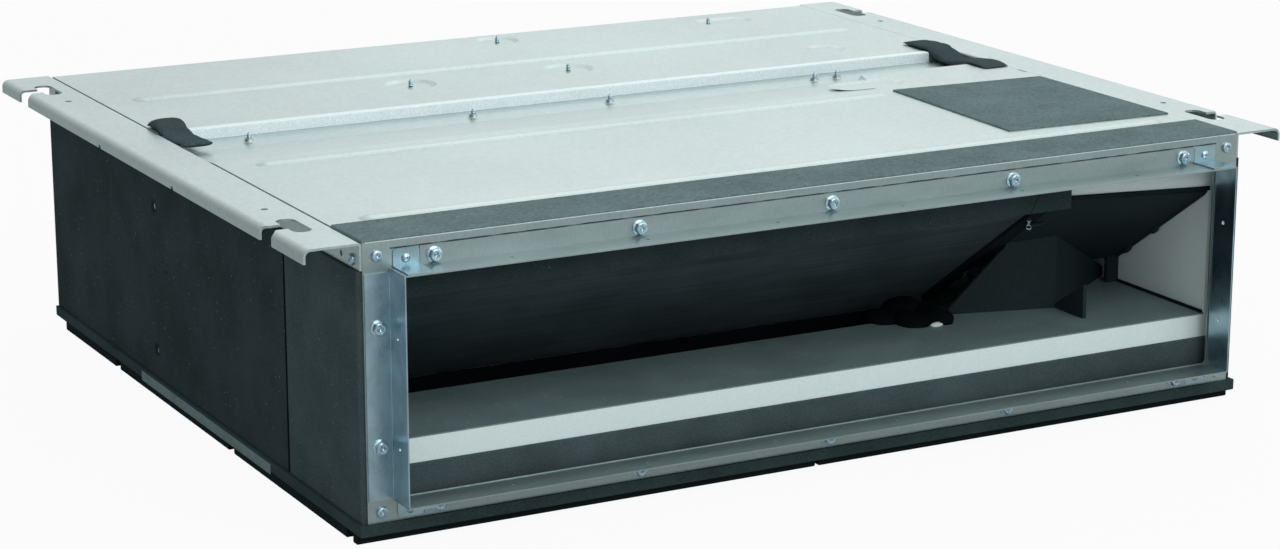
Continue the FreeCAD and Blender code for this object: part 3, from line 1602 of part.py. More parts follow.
def drain_pump_impeller():
    """Four-vane pump wheel on its thin shaft."""
    def upright(start, end, radius):
        return rod(Vector(pump_x, pump_y, pump_cup + start), Vector(pump_x, pump_y, pump_cup + end), radius)

    pieces = [upright(wheel_hub_low, wheel_hub_high, wheel_hub)]
    for k in range(vanes):
        outline = rectangle(vane_root, wheel_radius, -vane_half, vane_half)
        vane = extrude_z(outline, pump_cup + wheel_low, pump_cup + wheel_high)
        vane.rotate(Vector(0, 0, 0), Z, 360 * k / vanes)
        vane.translate(Vector(pump_x, pump_y, 0))
        pieces.append(vane)
    return upright(wheel_low, wheel_shaft_high, wheel_shaft).multiFuse(pieces)


def drain_hose():
    start, end = Vector(pump_x + hose_start, pump_y, socket_z), Vector(case_width - hose_stop, pump_y,
                                                                       socket_z)
    outer = rod(start, end, nozzle_radius + hose_wall)
    return outer.cut(rod(Vector(pump_x, pump_y, socket_z), Vector(case_width, pump_y, socket_z),
                         nozzle_radius + running_clearance))


def drain_socket():
    """Pipe socket through the right side, with a collar against the panel and a spigot for the hose."""
    end, wide = skin + socket_outside, socket_radius - socket_wall
    profile = [(socket_bore, -socket_inside), (nozzle_radius, -socket_inside),
               (nozzle_radius, -socket_shoulder),
               (socket_collar, -socket_shoulder), (socket_collar, -sheet), (socket_radius,
                                                                            -sheet), (socket_radius, end),
               (wide, end), (wide, -socket_step), (socket_bore, -socket_throat)]
    return revolve(profile, Vector(case_width, pump_y, socket_z), X, Z)


def float_switch_stem():
    """Stem that hangs from the pump's shelf, with a foot below the float and a stop above it."""
    low, high = float_stem_low, float_stem_high
    neck = high - stem_head
    profile = [(0, low), (stem_foot_radius, low), (stem_foot_radius, low + stem_foot),
               (stem_radius, low + stem_foot),
               (stem_radius, neck), (stem_head_radius, neck), (stem_head_radius, high), (0, high)]
    centre = Vector(float_x, pump_y, 0)
    stop = float_low + float_height + float_travel + float_stop_gap
    ring = rectangle(stem_radius - float_stop_root, stem_foot_radius, stop, stop + stem_foot)
    return revolve(profile, centre, Z, X).fuse(revolve(ring, centre, Z, X))


def float_switch_float():
    low, high = float_low, float_low + float_height
    bore, cap = stem_radius + float_bore_gap, float_radius - float_bevel
    profile = [(bore, low), (cap, low), (float_radius, low + float_bevel), (float_radius, high - float_bevel),
               (cap, high), (bore, high)]
    return revolve(profile, Vector(float_x, pump_y, 0), Z, X)


def cover_screw_places():
    inset = cover_margin / 2
    return [(y, z) for y in (box_front - inset, box_back + inset) for z in (box_low - inset,
                                                                            box_high + inset)]


def control_box():
    """Open steel box behind the window in the right panel, with a flange against the panel."""
    m = cover_margin
    x1 = case_width - sheet
    x0 = x1 - box_depth
    outer = block(x0, x1, box_front, box_back, box_low, box_high)
    rim = block(x1 - sheet, x1, box_front - m, box_back + m, box_low - m, box_high + m)
    inside = block(x0 + sheet, case_width, box_front + sheet, box_back - sheet, box_low + sheet,
                   box_high - sheet)
    box = outer.fuse(rim).cut(inside)
    for y, z in cover_screw_places():
        box = box.cut(rod(Vector(x1 - 2 * sheet, y, z), Vector(case_width, y, z), screw_radius + hole_gap))
    return box


def control_box_cover():
    """Flat lid on the outside of the right panel, with a row of cooling slots."""
    m = cover_margin
    outline = rectangle(box_front - m, box_back + m, box_low - m, box_high + m)
    lid = extrude_x(outline, case_width, case_width + cover_sheet, cover_round)
    inner, outer = case_width - sheet, case_width + 2 * cover_sheet
    for y, z in cover_screw_places():
        lid = lid.cut(rod(Vector(inner, y, z), Vector(outer, y, z), screw_radius + hole_gap))
    high = box_high - vent_drop
    for k in range(vent_count):
        y = box_front + vent_inset + vent_pitch * k
        lid = lid.cut(block(inner, outer, y, y + vent_width, high - vent_length, high))
    return lid


def control_board():
    """Circuit board with relays, a capacitor, a transformer and a row of terminals."""
    x0 = case_width - box_depth
    y0, y1 = box_front + board_edge, box_back - board_edge
    z0, z1 = box_low + board_edge, box_high - board_edge
    board = block(x0 + board_stand, x0 + board_stand + board_sheet, y0, y1, z0, z1)
    face = x0 + board_stand + board_sheet - board_seat
    inset, back = board_post_inset, x0 + board_stand + board_post_proud
    pieces = []
    for y in (y0 + inset, y1 - inset):
        for z in (z0 + inset, z1 - inset):
            pieces.append(rod(Vector(x0, y, z), Vector(back, y, z), board_post))
    low = z0 + terminal_low
    for k in range(terminal_count):
        y = y0 + terminal_inset + terminal_pitch * k
        pieces.append(block(face, face + terminal_deep, y, y + terminal_width, low, low + terminal_height))
    high = z1 - relay_high
    for k in range(relay_count):
        y = y0 + relay_inset + relay_pitch * k
        pieces.append(block(face, face + relay_width, y, y + relay_width, high - relay_height, high))
    centre = Vector(face, y1 - capacitor_inset, z1 - capacitor_drop)
    pieces.append(rod(centre, centre.add(Vector(capacitor_length, 0, 0)), capacitor_radius))
    y, z = y1 - transformer_inset, z0 + transformer_rise
    pieces.append(block(face, face + transformer_deep, y - transformer_width, y, z, z + transformer_height))
    return board.multiFuse(pieces)


def pocket_box(y0, y1, inset):
    """Block on the rectangle of the filter's pocket, smaller all round by the inset."""
    return block(frame_side + inset, case_width - frame_side - inset, y0, y1,
                 frame_low + inset, case_height - frame_high - inset)


def rear_suction_frame():
    """Rear ring with a pocket for the filter: walls run in from the window to a stop lip."""
    y0 = case_depth - sheet
    deep = y0 - filter_depth - pocket_margin
    wall = 2 * sheet
    frame = window_frame(y0, case_depth, frame_side + wall, frame_low + wall, frame_high + wall, window_round)
    frame = frame.fuse(return_ring(y0 - return_depth, y0))
    pocket = pocket_box(deep, y0, sheet).cut(pocket_box(deep - sheet, case_depth, wall))
    lip = pocket_box(deep, deep + sheet, sheet).cut(pocket_box(deep - sheet, case_depth, pocket_lip))
    frame = frame.fuse(pocket).fuse(lip)
    for x, y, radius, length in rear_dimples()[2:]:
        reach = length / 2 + radius + dimple_clearance
        frame = frame.cut(block(x - reach, x + reach, 0, y + radius + dimple_clearance,
                                plate_under - 3 * sheet,
                                plate_under + sheet))
    return frame


def filter_extent():
    """Filter's outer rectangle, a fitting gap inside the walls of its pocket."""
    inset = 2 * sheet + fit_gap
    x0, z0 = frame_side + inset, frame_low + inset
    return x0, case_width - x0, z0, case_height - frame_high - inset


def air_filter_frame():
    """Plastic frame with cross ribs and two finger grips."""
    x0, x1, z0, z1 = filter_extent()
    y0, y1 = filter_front, filter_front + filter_depth
    outer = extrude_y(rectangle(x0, x1, z0, z1), y0, y1, filter_round)
    outer = outer.cut(block(x0 + filter_bar, x1 - filter_bar, y0 - sheet, y1 + sheet, z0 + filter_bar,
                            z1 - filter_bar))
    rib, front, back = filter_rib, y1 - filter_rib_front, y1 - filter_rib_back
    mid = (z0 + z1) / 2
    bars = [block(x0 + rib, x1 - rib, front, back, mid - rib, mid + rib)]
    step = (x1 - x0) / filter_panes
    for k in range(1, filter_panes):
        x = x0 + k * step
        bars.append(block(x - rib, x + rib, front, back, z0 + rib, z1 - rib))
    tip = y1 + grip_reach
    grip = [(y1 - grip_root, z0 + grip_low), (tip, z0 + grip_low), (tip, z0 + grip_edge),
            (y1 - grip_root, z0 + grip_high)]
    for x in (x0 + step, x1 - step):
        bars.append(extrude_x(grip, x - grip_half, x + grip_half))
    return outer.multiFuse(bars).removeSplitter()


def air_filter_mesh():
    x0, x1, z0, z1 = filter_extent()
    inset = filter_bar
    y1 = filter_front + filter_depth - filter_rib_front
    return block(x0 + inset, x1 - inset, y1 - filter_net, y1, z0 + inset, z1 - inset)


def fan_housing_left():
    return fan_housing(-1)


def fan_housing_right():
    return fan_housing(1)


def fan_rotor_left():
    return fan_rotor(-1)


def fan_rotor_right():
    return fan_rotor(1)


NODES = [
    top_plate_front, top_plate_rear, side_panel_left, side_panel_right, base_plate_front, base_plate_rear,
    partition_plate, outlet_frame, duct_collar_top, duct_collar_bottom, duct_collar_left, duct_collar_right,
    collar_lugs, hanger_rail_left, hanger_rail_right, rear_suction_frame, side_insulation_left_front,
    side_insulation_left_rear, side_insulation_right, base_insulation, base_pads, top_foam_strip, top_foam_pad,
    joint_foam_left, joint_foam_right, sill_insulation, drain_pan, drain_pan_film, outlet_lining, coil_fins,
    coil_tubes, coil_end_plate_left, coil_end_plate_right, gas_pipe, liquid_pipe, flare_nuts, coil_end_cover,
    cover_edge_strip, drain_pump, drain_pump_impeller, drain_hose, drain_socket, float_switch_stem,
    float_switch_float, control_box, control_box_cover, control_board, air_filter_frame, air_filter_mesh,
    fan_housing_left, fan_housing_right, fan_rotor_left, fan_rotor_right, fan_shaft, fan_motor, motor_mounts,
    motor_bracket, hex_screws, tapping_screws, lug_rivets,
]


def main():
    os.makedirs("parts", exist_ok=True)
    low_y, high_y = -collar_depth, case_depth + rail_tail
    shift = Vector(-mid_x, -(low_y + high_y) / 2, base_height)
    for make in NODES:
        shape = make()
        shape.translate(shift)
        shape.exportStep("parts/" + make.__name__ + ".step")


main()
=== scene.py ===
import json
import math

import bmesh
import bpy
import numpy as np
from bpy.props import FloatProperty, FloatVectorProperty, IntProperty, PointerProperty
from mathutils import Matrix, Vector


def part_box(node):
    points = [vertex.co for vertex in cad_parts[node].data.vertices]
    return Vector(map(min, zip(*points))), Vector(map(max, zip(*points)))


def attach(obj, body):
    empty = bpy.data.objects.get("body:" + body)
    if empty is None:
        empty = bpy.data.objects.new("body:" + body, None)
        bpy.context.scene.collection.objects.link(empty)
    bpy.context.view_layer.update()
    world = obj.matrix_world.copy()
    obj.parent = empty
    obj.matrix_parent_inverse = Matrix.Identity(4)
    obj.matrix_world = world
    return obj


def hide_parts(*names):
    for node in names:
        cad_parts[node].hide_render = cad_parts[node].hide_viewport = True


bl_info = {
    "name": "Ducted Air Conditioner",
    "version": (1, 0, 0),
    "blender": (4, 5, 0),
    "location": "3D View > Sidebar > Air Conditioner",
    "description": "Finishes, foams, fasteners and fins of a slim ducted air conditioner",
    "category": "Object",
}

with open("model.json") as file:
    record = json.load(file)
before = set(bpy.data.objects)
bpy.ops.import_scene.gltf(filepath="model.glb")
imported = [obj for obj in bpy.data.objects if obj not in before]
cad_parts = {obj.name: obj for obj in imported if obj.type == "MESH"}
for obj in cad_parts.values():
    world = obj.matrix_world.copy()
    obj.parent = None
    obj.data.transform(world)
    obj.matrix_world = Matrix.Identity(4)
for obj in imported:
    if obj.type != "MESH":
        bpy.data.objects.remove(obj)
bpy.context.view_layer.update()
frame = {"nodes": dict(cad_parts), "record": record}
nodes = frame["nodes"]

MM = 0.001
SEED = 7
# Points of a mesh that lie closer than this are one
MERGE = 1e-6


def corners(node):
    """Lowest and highest corner of a CAD node, as arrays in metres."""
    low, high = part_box(node)
    return np.array(low), np.array(high)


case_low = np.array([corners("side_panel_left")[0][0], corners("outlet_frame")[0][1],
                     corners("base_plate_front")[0][2]])
plate_top = corners("top_foam_strip")[0][2]
joint_y = corners("top_plate_rear")[0][1]
groove_z = corners("partition_plate")[1][2] + 1.0 * MM


def tint(name, red, green, blue):
    """A colour that a user may change."""
    return FloatVectorProperty(name=name, description=f"Colour of the {name.lower()}", subtype="COLOR",
                               size=3, min=0.0, max=1.0, default=(red, green, blue))


def length(name, description, millimetres):
    """A length that a user may change, given here in millimetres and kept in metres."""
    return FloatProperty(name=name, description=description, default=millimetres * MM, min=0.0,
                         unit="LENGTH", precision=5)


class FinishColours(bpy.types.PropertyGroup):
    """Base colours of the finishes."""

    sheet: tint("Galvanised sheet", 0.47, 0.565, 0.56)
    # Pale colour that paints the highlight of the lit wall at the top joint and of the frame's edge
    bright: tint("Bright joint strip", 0.80, 0.90, 0.92)
    brushed: tint("Galvanised collar strip", 0.36, 0.44, 0.44)
    zinc: tint("Passivated zinc", 0.38, 0.52, 0.58)
    screw: tint("Zinc-plated fasteners", 0.46, 0.62, 0.70)
    side_foam: tint("Side insulation", 0.031, 0.046, 0.049)
    base_foam: tint("Base insulation", 0.038, 0.060, 0.064)
    felt: tint("Foam strips on the top", 0.160, 0.222, 0.226)
    soft_black: tint("Soft black foam", 0.060, 0.086, 0.091)
    cover: tint("Coil end cover", 0.0195, 0.0305, 0.0345)
    beads: tint("Moulded white foam", 0.79, 0.90, 0.89)
    film: tint("Pan film", 0.165, 0.235, 0.242)
    fins: tint("Coated fins", 0.16, 0.22, 0.24)
    copper: tint("Copper", 0.62, 0.30, 0.17)
    brass: tint("Brass", 0.62, 0.46, 0.20)
    black: tint("Black plastic", 0.012, 0.017, 0.019)
    rotor: tint("Fan plastic", 0.035, 0.040, 0.043)
    steel: tint("Ground steel", 0.55, 0.57, 0.58)
    can: tint("Motor can", 0.40, 0.44, 0.45)
    pump: tint("Pump plastic", 0.66, 0.70, 0.69)
    board: tint("Circuit board", 0.02, 0.13, 0.06)
    net: tint("Filter net", 0.035, 0.045, 0.048)


class FastenerSizes(bpy.types.PropertyGroup):
    """Sizes of screws and rivets that the solids leave out."""

    recess_arm: length("Recess arm", "Half length of an arm of the cross recess", 2.1)
    recess_width: length("Recess width", "Half width of an arm of the cross recess", 0.55)
    recess_depth: length("Recess depth", "Depth of the cross recess at its middle", 1.6)
    washer: length("Washer", "Thickness of the washer under a hexagon head", 1.0)
    thread_pitch: length("Thread pitch", "Distance between two threads", 1.4)
    thread_depth: length("Thread depth", "Height of a thread above the core", 0.42)
    sleeve_radius: length("Sleeve radius", "Outer radius of the sleeve round a screw in the groove", 3.3)
    sleeve_height: length("Sleeve height", "Height of the sleeve above the groove's floor", 3.0)
    columns: IntProperty(name="Columns", description="Faces round a head", default=48, min=12, max=96)


class FoamSizes(bpy.types.PropertyGroup):
    """How soft the foam pieces look."""

    edge: length("Edge", "Radius of a cut edge of foam", 1.1)
    ripple: length("Ripple", "How far the face of a foam sheet sinks between its high places", 0.45)
    spacing: length("Spacing", "Distance between the points of a foam sheet", 9.0)
    pad_gap: length("Pad gap", "How much each end of a base pad is shorter than its solid", 4.0)
    pad_rise: length("Pad rise", "How much thicker the pads and thinner the sheet above them are", 2.8)
    pad_reach: length("Pad reach", "How far the pads reach out to the sides of the sheet above them", 3.6)


class CoilSizes(bpy.types.PropertyGroup):
    """The fin stack."""

    pitch: length("Fin pitch", "Distance between two fins", 1.8)
    fin: length("Fin sheet", "Thickness of a fin", 0.16)
    lean: FloatProperty(name="Lean", description="Angle of the coil's lower face below the level",
                        subtype="ANGLE", default=math.radians(34.5))


class TrimSizes(bpy.types.PropertyGroup):
    """Small trim: bead, wire ties and seal in the outlet, painted shadow line on the collar, joint strip."""

    bead_radius: length("Bead radius", "Radius of the bead on the cover's right edge", 1.9)
    bead_length: length("Bead length", "Length of the bead down the cover's right edge", 126.0)
    wire_radius: length("Wire radius", "Radius of a tie's wire", 0.42)
    # Radius of the painted shadow line on the collar and of the painted highlight line on the frame's edge
    sealant: length("Sealant", "Radius of the sealant on the collar and of the frame's rolled edge", 0.38)
    seal: length("Seal", "Width and height of the seal between the pan and its wall", 2.2)
    strip_lap: length("Strip lap", "How far the joint strip lies back over the rear plate", 6.5)
    strip_sheet: length("Strip sheet", "Thickness of the joint strip", 0.35)


class NetSizes(bpy.types.PropertyGroup):
    """The filter's woven net."""

    pitch: length("Net pitch", "Distance between two threads of the net", 3.0)
    thread: length("Thread", "Thickness of a thread of the net", 0.5)


class StageValues(bpy.types.PropertyGroup):
    """Camera and sky."""

    eye: FloatVectorProperty(name="Eye", description="Place of the camera", subtype="TRANSLATION",
                             unit="LENGTH", size=3, default=(-1.125, -2.11395, 0.6982))
    tilt: FloatProperty(name="Tilt", description="Camera's turn up from straight down", subtype="ANGLE",
                        default=math.radians(75.316))
    heading: FloatProperty(name="Heading", description="Camera's turn about the upright",
                           subtype="ANGLE", default=math.radians(-28.28))
    lens: FloatProperty(name="Lens", description="Focal length in millimetres", default=89.69, min=1.0)
    film_width: FloatProperty(name="Film width", description="Width of the film in millimetres", default=36.0)
    sky: FloatProperty(name="Sky", description="Strength of the even light from all round",
                       default=0.62, min=0.0)


GROUPS = {
    "aircon_colours": FinishColours,
    "aircon_fasteners": FastenerSizes,
    "aircon_foam": FoamSizes,
    "aircon_coil": CoilSizes,
    "aircon_trim": TrimSizes,
    "aircon_net": NetSizes,
    "aircon_stage": StageValues,
}


# Shader maths
class Value:
    """A number, colour or shader that a node gives, with the arithmetic that is used on it."""

    def __init__(self, tree, socket):
        self.tree = tree
        self.socket = socket

    def __add__(self, other):
        return self.tree.maths("ADD", self, other)

    __radd__ = __add__

    def __mul__(self, other):
        return self.tree.maths("MULTIPLY", self, other)

    __rmul__ = __mul__


class NodeTree:
    """The nodes of a material or of the sky."""

    def __init__(self, owner):
        owner.use_nodes = True
        self.nodes = owner.node_tree.nodes
        self.links = owner.node_tree.links

    def feed(self, socket, value):
        """Links a worked-out value to a socket, or sets a plain one."""
        if isinstance(value, Value):
            self.links.new(value.socket, socket)
        elif socket.type == "RGBA":
            socket.default_value = (*value, 1.0)
        else:
            socket.default_value = value

    def node(self, kind, settings=None, sockets=None):
        """A node of that kind: its settings first, then the values or links of its sockets."""
        node = self.nodes.new(kind)
        for key, value in (settings or {}).items():
            setattr(node, key, value)
        for key, value in (sockets or {}).items():
            self.feed(node.inputs[key], value)
        return node

    def read(self, node, socket=0):
        """What a node gives at one of its sockets."""
        return Value(self, node.outputs[socket])

    def maths(self, operation, first, second):
        """One operation on two values."""
        return self.read(self.node("ShaderNodeMath", {"operation": operation}, {0: first, 1: second}))

    def blend(self, factor, first, second, output):
        """Feeds an output with the first node's light, and as far as the factor says with the second's."""
        sockets = {0: factor, 1: self.read(first), 2: self.read(second)}
        mixed = self.node("ShaderNodeMixShader", None, sockets)
        self.feed(self.nodes[output].inputs["Surface"], self.read(mixed))


class Paint(NodeTree):
    """One material and the nodes that make it. Patterns lie on object coordinates, in metres."""

    def __init__(self, name):
        plain = bpy.data.materials.get(name)
        if plain:
            plain.name = name + "_plain"
        self.material = bpy.data.materials.new(name)
        super().__init__(self.material)
        self.shader = self.nodes["Principled BSDF"]
        self.place = self.read(self.node("ShaderNodeTexCoord"), "Object")

    def stretched(self, x, y, z):
        """Object coordinates times a factor on each axis."""
        sockets = {0: self.place, 1: (x, y, z)}
        return self.read(self.node("ShaderNodeVectorMath", {"operation": "MULTIPLY"}, sockets))

    def noise(self, scale, detail=3.0, rough=0.55, bend=0.0, place=None):
        """Cloudy noise from 0 to 1: its scale, finer layers, their strength, and how far it is bent."""
        sockets = {"Vector": place or self.place, "Scale": scale, "Detail": detail, "Roughness": rough,
                   "Distortion": bend}
        return self.read(self.node("ShaderNodeTexNoise", None, sockets))

    def cells(self, scale, output="Distance", feature="F1"):
        """Irregular cells: the distance to a cell's point or edge, or a value of its own for each cell."""
        sockets = {"Vector": self.place, "Scale": scale}
        return self.read(self.node("ShaderNodeTexVoronoi", {"feature": feature}, sockets), output)

    def step(self, value, low, high):
        """Smooth step of the value from 0 to 1 between low and high."""
        settings = {"interpolation_type": "SMOOTHSTEP"}
        return self.read(self.node("ShaderNodeMapRange", settings, {0: value, 1: low, 2: high}))

    def mix(self, factor, first, second):
        """Colour between two, by a factor."""
        node = self.node("ShaderNodeMix", {"data_type": "RGBA"}, {0: factor, 6: first, 7: second})
        return self.read(node, 2)

    def toned(self, tone, colour, dark, pale):
        """The colour times dark where the tone is 0, and times pale where it is 1."""
        return self.mix(tone, shade(colour, dark), shade(colour, pale))

    def bump(self, height, depth, under=None):
        """Relief of the given depth in metres, on top of another relief where one is given."""
        sockets = {"Height": height, "Distance": depth, "Strength": 1.0}
        if under is not None:
            sockets["Normal"] = under
        return self.read(self.node("ShaderNodeBump", None, sockets), "Normal")

    def done(self, **sockets):
        """Feeds the surface shader; a name's underscores stand for spaces."""
        for name, value in sockets.items():
            self.feed(self.shader.inputs[name.replace("_", " ")], value)


def shade(colour, factor):
    """A colour times a factor, no channel above 1."""
    return tuple(min(1.0, channel * factor) for channel in colour)


# Finishes with a recipe of their own
def galvanised_sheet(colours):
    """Galvanised steel: satin, with a fine grain, a faint spangle and slow clouds."""
    paint = Paint("galvanised_sheet")
    grain = paint.noise(1250.0, 3.0, 0.75)
    spangle = paint.cells(330.0, "Color")
    cloud = paint.noise(6.0)
    tone = paint.step(grain * 0.5 + spangle * 0.2 + cloud * 0.3, 0.30, 0.70)
    base = paint.toned(tone, colours.sheet, 0.88, 1.10)
    rough = 0.33 + spangle * 0.05 + grain * 0.08
    paint.done(Base_Color=base, Roughness=rough, Metallic=0.88, Normal=paint.bump(grain, 0.00002))


def joint_zinc(colours):
    """Speckled zinc, much paler than the sheet: painted highlight on the strip along the joint and on the
    frame's edge.
    """
    paint = Paint("joint_zinc")
    speck = paint.noise(1100.0, 3.0, 0.8)
    base = paint.toned(paint.step(speck, 0.34, 0.66), colours.bright, 0.86, 1.08)
    relief = paint.bump(speck, 0.00004)
    paint.done(Base_Color=base, Roughness=0.42 + speck * 0.2, Metallic=0.45, Normal=relief)


def brushed_sheet(colours):
    """Galvanised strip: upright brush lines, soft clouds along its length and small bright flecks."""
    paint = Paint("brushed_sheet")
    lines = paint.noise(1.0, 4.0, 0.7, place=paint.stretched(1700.0, 1700.0, 170.0))
    cloud = paint.noise(1.0, place=paint.stretched(22.0, 60.0, 90.0))
    fleck = paint.step(paint.noise(800.0, 2.0), 0.62, 0.76)
    tone = paint.step(lines * 0.6 + cloud * 0.4, 0.28, 0.72)
    dull = paint.toned(tone, colours.brushed, 0.84, 1.12)
    base = paint.mix(fleck * 0.35, dull, shade(colours.brushed, 1.7))
    relief = paint.bump(lines, 0.00003)
    paint.done(Base_Color=base, Roughness=0.30 + lines * 0.16, Metallic=0.92, Normal=relief)


def passivated_zinc(colours):
    """Glossy bluish zinc with faint clouds and drawing lines along the upright."""
    paint = Paint("passivated_zinc")
    cloud = paint.noise(26.0, 4.0, 0.6, 0.6)
    lines = paint.noise(1.0, 4.0, place=paint.stretched(900.0, 900.0, 8.0))
    base = paint.toned(paint.step(cloud, 0.3, 0.7), colours.zinc, 0.82, 1.18)
    rough = 0.18 + cloud * 0.12 + lines * 0.10
    paint.done(Base_Color=base, Roughness=rough, Metallic=1.0, Normal=paint.bump(lines, 0.00002))


def fastener_zinc(colours):
    """Bright bluish plating, a little cloudy."""
    paint = Paint("fastener_zinc")
    cloud = paint.noise(420.0)
    base = paint.toned(paint.step(cloud, 0.35, 0.65), colours.screw, 0.85, 1.12)
    paint.done(Base_Color=base, Roughness=0.20 + cloud * 0.16, Metallic=1.0)


def cover_plastic(colours):
    """Matt black sheet with a fine grain, a little paler towards its high places."""
    paint = Paint("cover_plastic")
    grain = paint.noise(900.0)
    cloud = paint.noise(11.0)
    base = paint.toned(paint.step(grain * 0.5 + cloud * 0.5, 0.3, 0.7), colours.cover, 0.75, 1.35)
    relief = paint.bump(grain, 0.00006)
    paint.done(Base_Color=base, Roughness=0.75, Normal=relief, Specular_IOR_Level=0.08)


def grey_felt(colours):
    """Fibrous foam sheet: short tangled fibres and a cloudy tone."""
    paint = Paint("grey_felt")
    fibre = paint.noise(1.0, 5.0, 0.75, 1.2, place=paint.stretched(330.0, 620.0, 620.0))
    cloud = paint.noise(20.0, 4.0, 0.65)
    tone = paint.step(fibre * 0.75 + cloud * 0.25, 0.34, 0.66)
    base = paint.toned(tone, colours.felt, 0.66, 1.34)
    relief = paint.bump(fibre, 0.0002)
    paint.done(Base_Color=base, Roughness=0.95, Normal=relief, Specular_IOR_Level=0.04)


def white_foam(colours):
    """Moulded bead foam: pressed beads with fine creases between them."""
    paint = Paint("white_foam")
    crease = paint.cells(270.0, "Distance", "DISTANCE_TO_EDGE")
    bead = paint.step(crease, 0.0, 0.10)
    cloud = paint.noise(60.0, 2.0)
    speck = paint.noise(900.0)
    tone = bead * 0.35 + paint.step(speck, 0.35, 0.65) * 0.65
    base = paint.toned(tone, colours.beads, 0.955, 1.03)
    relief = paint.bump(bead, 0.000035)
    paint.done(Base_Color=base, Roughness=0.62 + cloud * 0.1, Normal=relief, Specular_IOR_Level=0.3,
               Subsurface_Weight=0.05, Subsurface_Scale=0.004)


def pan_film(colours):
    """Grey film pressed on to the pan, with slow waves and small dents."""
    paint = Paint("pan_film")
    wave = paint.noise(22.0, 3.0, 0.5, 0.8)
    dent = paint.step(paint.cells(90.0), 0.16, 0.08)
    grain = paint.noise(900.0, 2.0)
    tone = paint.step(wave * 0.6 + grain * 0.4, 0.3, 0.7)
    smooth = paint.toned(tone, colours.film, 0.86, 1.14)
    base = paint.mix(dent * 0.35, smooth, shade(colours.film, 1.9))
    relief = paint.bump(dent, 0.0001, paint.bump(wave, 0.0004))
    paint.done(Base_Color=base, Roughness=0.50 + wave * 0.1, Normal=relief, Specular_IOR_Level=0.35)


def coated_fins(colours):
    """Dark coated aluminium with fine lines along the coil where the fins' edges line up."""
    paint = Paint("coated_fins")
    streak = paint.noise(1.0, 4.0, 0.65, place=paint.stretched(9.0, 420.0, 420.0))
    cloud = paint.noise(14.0)
    tone = paint.step(streak * 0.65 + cloud * 0.35, 0.32, 0.68)
    base = paint.toned(tone, colours.fins, 0.62, 1.45)
    paint.done(Base_Color=base, Roughness=0.48 + streak * 0.12, Metallic=0.2)


def circuit_board(colours):
    """Lacquered board with paler tracks."""
    paint = Paint("circuit_board")
    track = paint.step(paint.cells(220.0, "Distance", "DISTANCE_TO_EDGE"), 0.10, 0.06)
    base = paint.toned(track * 0.5, colours.board, 1.0, 2.6)
    paint.done(Base_Color=base, Roughness=0.3, Normal=paint.bump(track, 0.00006), Coat_Weight=0.3)


def filter_mesh(colours):
    """Woven plastic thread."""
    paint = Paint("filter_mesh")
    twist = paint.noise(2200.0, 2.0)
    base = paint.toned(twist, colours.net, 0.8, 1.5)
    paint.done(Base_Color=base, Roughness=0.5, Normal=paint.bump(twist, 0.00008))


# Recipes that several finishes share
def specked_foam(name, colour, speck, relief):
    """Closed-cell foam: matt, fine pores, slow cloudy patches and scattered pale specks."""
    paint = Paint(name)
    pore = paint.noise(1000.0, 3.0, 0.65)
    patch = paint.noise(18.0, 4.0, 0.6)
    chosen = paint.step(paint.cells(260.0, "Color"), 0.66, 0.72)
    mark = paint.step(paint.cells(260.0), 0.13, 0.06) * chosen
    tone = paint.step(pore * 0.6 + patch * 0.4, 0.30, 0.70)
    base = paint.mix(mark * speck, paint.toned(tone, colour, 0.66, 1.42), shade(colour, 9.0))
    bump = paint.bump(pore, relief)
    paint.done(Base_Color=base, Roughness=0.95, Normal=bump, Specular_IOR_Level=0.04)


def tarnished(name, colour, dull, rough):
    """Bare red or yellow metal with cloudy tarnish."""
    paint = Paint(name)
    cloud = paint.noise(90.0, 5.0, 0.6, 0.7)
    base = paint.toned(paint.step(cloud, 0.35, 0.68), colour, 1.0, dull)
    paint.done(Base_Color=base, Roughness=rough + cloud * 0.2, Metallic=1.0)


def moulded(name, colour, rough, grain_depth):
    """Moulded plastic: spark-eroded grain and slow flow marks."""
    paint = Paint(name)
    grain = paint.noise(1700.0, 2.0)
    flow = paint.noise(30.0, 3.0, 0.5, 1.0)
    base = paint.toned(paint.step(flow, 0.3, 0.7), colour, 0.86, 1.16)
    relief = paint.bump(grain, grain_depth)
    paint.done(Base_Color=base, Roughness=rough + flow * 0.12, Normal=relief)


def turned_steel(name, colour, rough):
    """Steel with fine turning lines round the fan's axis."""
    paint = Paint(name)
    lines = paint.noise(1.0, place=paint.stretched(1800.0, 30.0, 30.0))
    base = paint.toned(lines, colour, 0.8, 1.15)
    paint.done(Base_Color=base, Roughness=rough + lines * 0.18, Metallic=0.95)


OWN_RECIPES = [
    galvanised_sheet, joint_zinc, brushed_sheet, passivated_zinc, fastener_zinc, cover_plastic,
    grey_felt, white_foam, pan_film, coated_fins, circuit_board, filter_mesh,
]
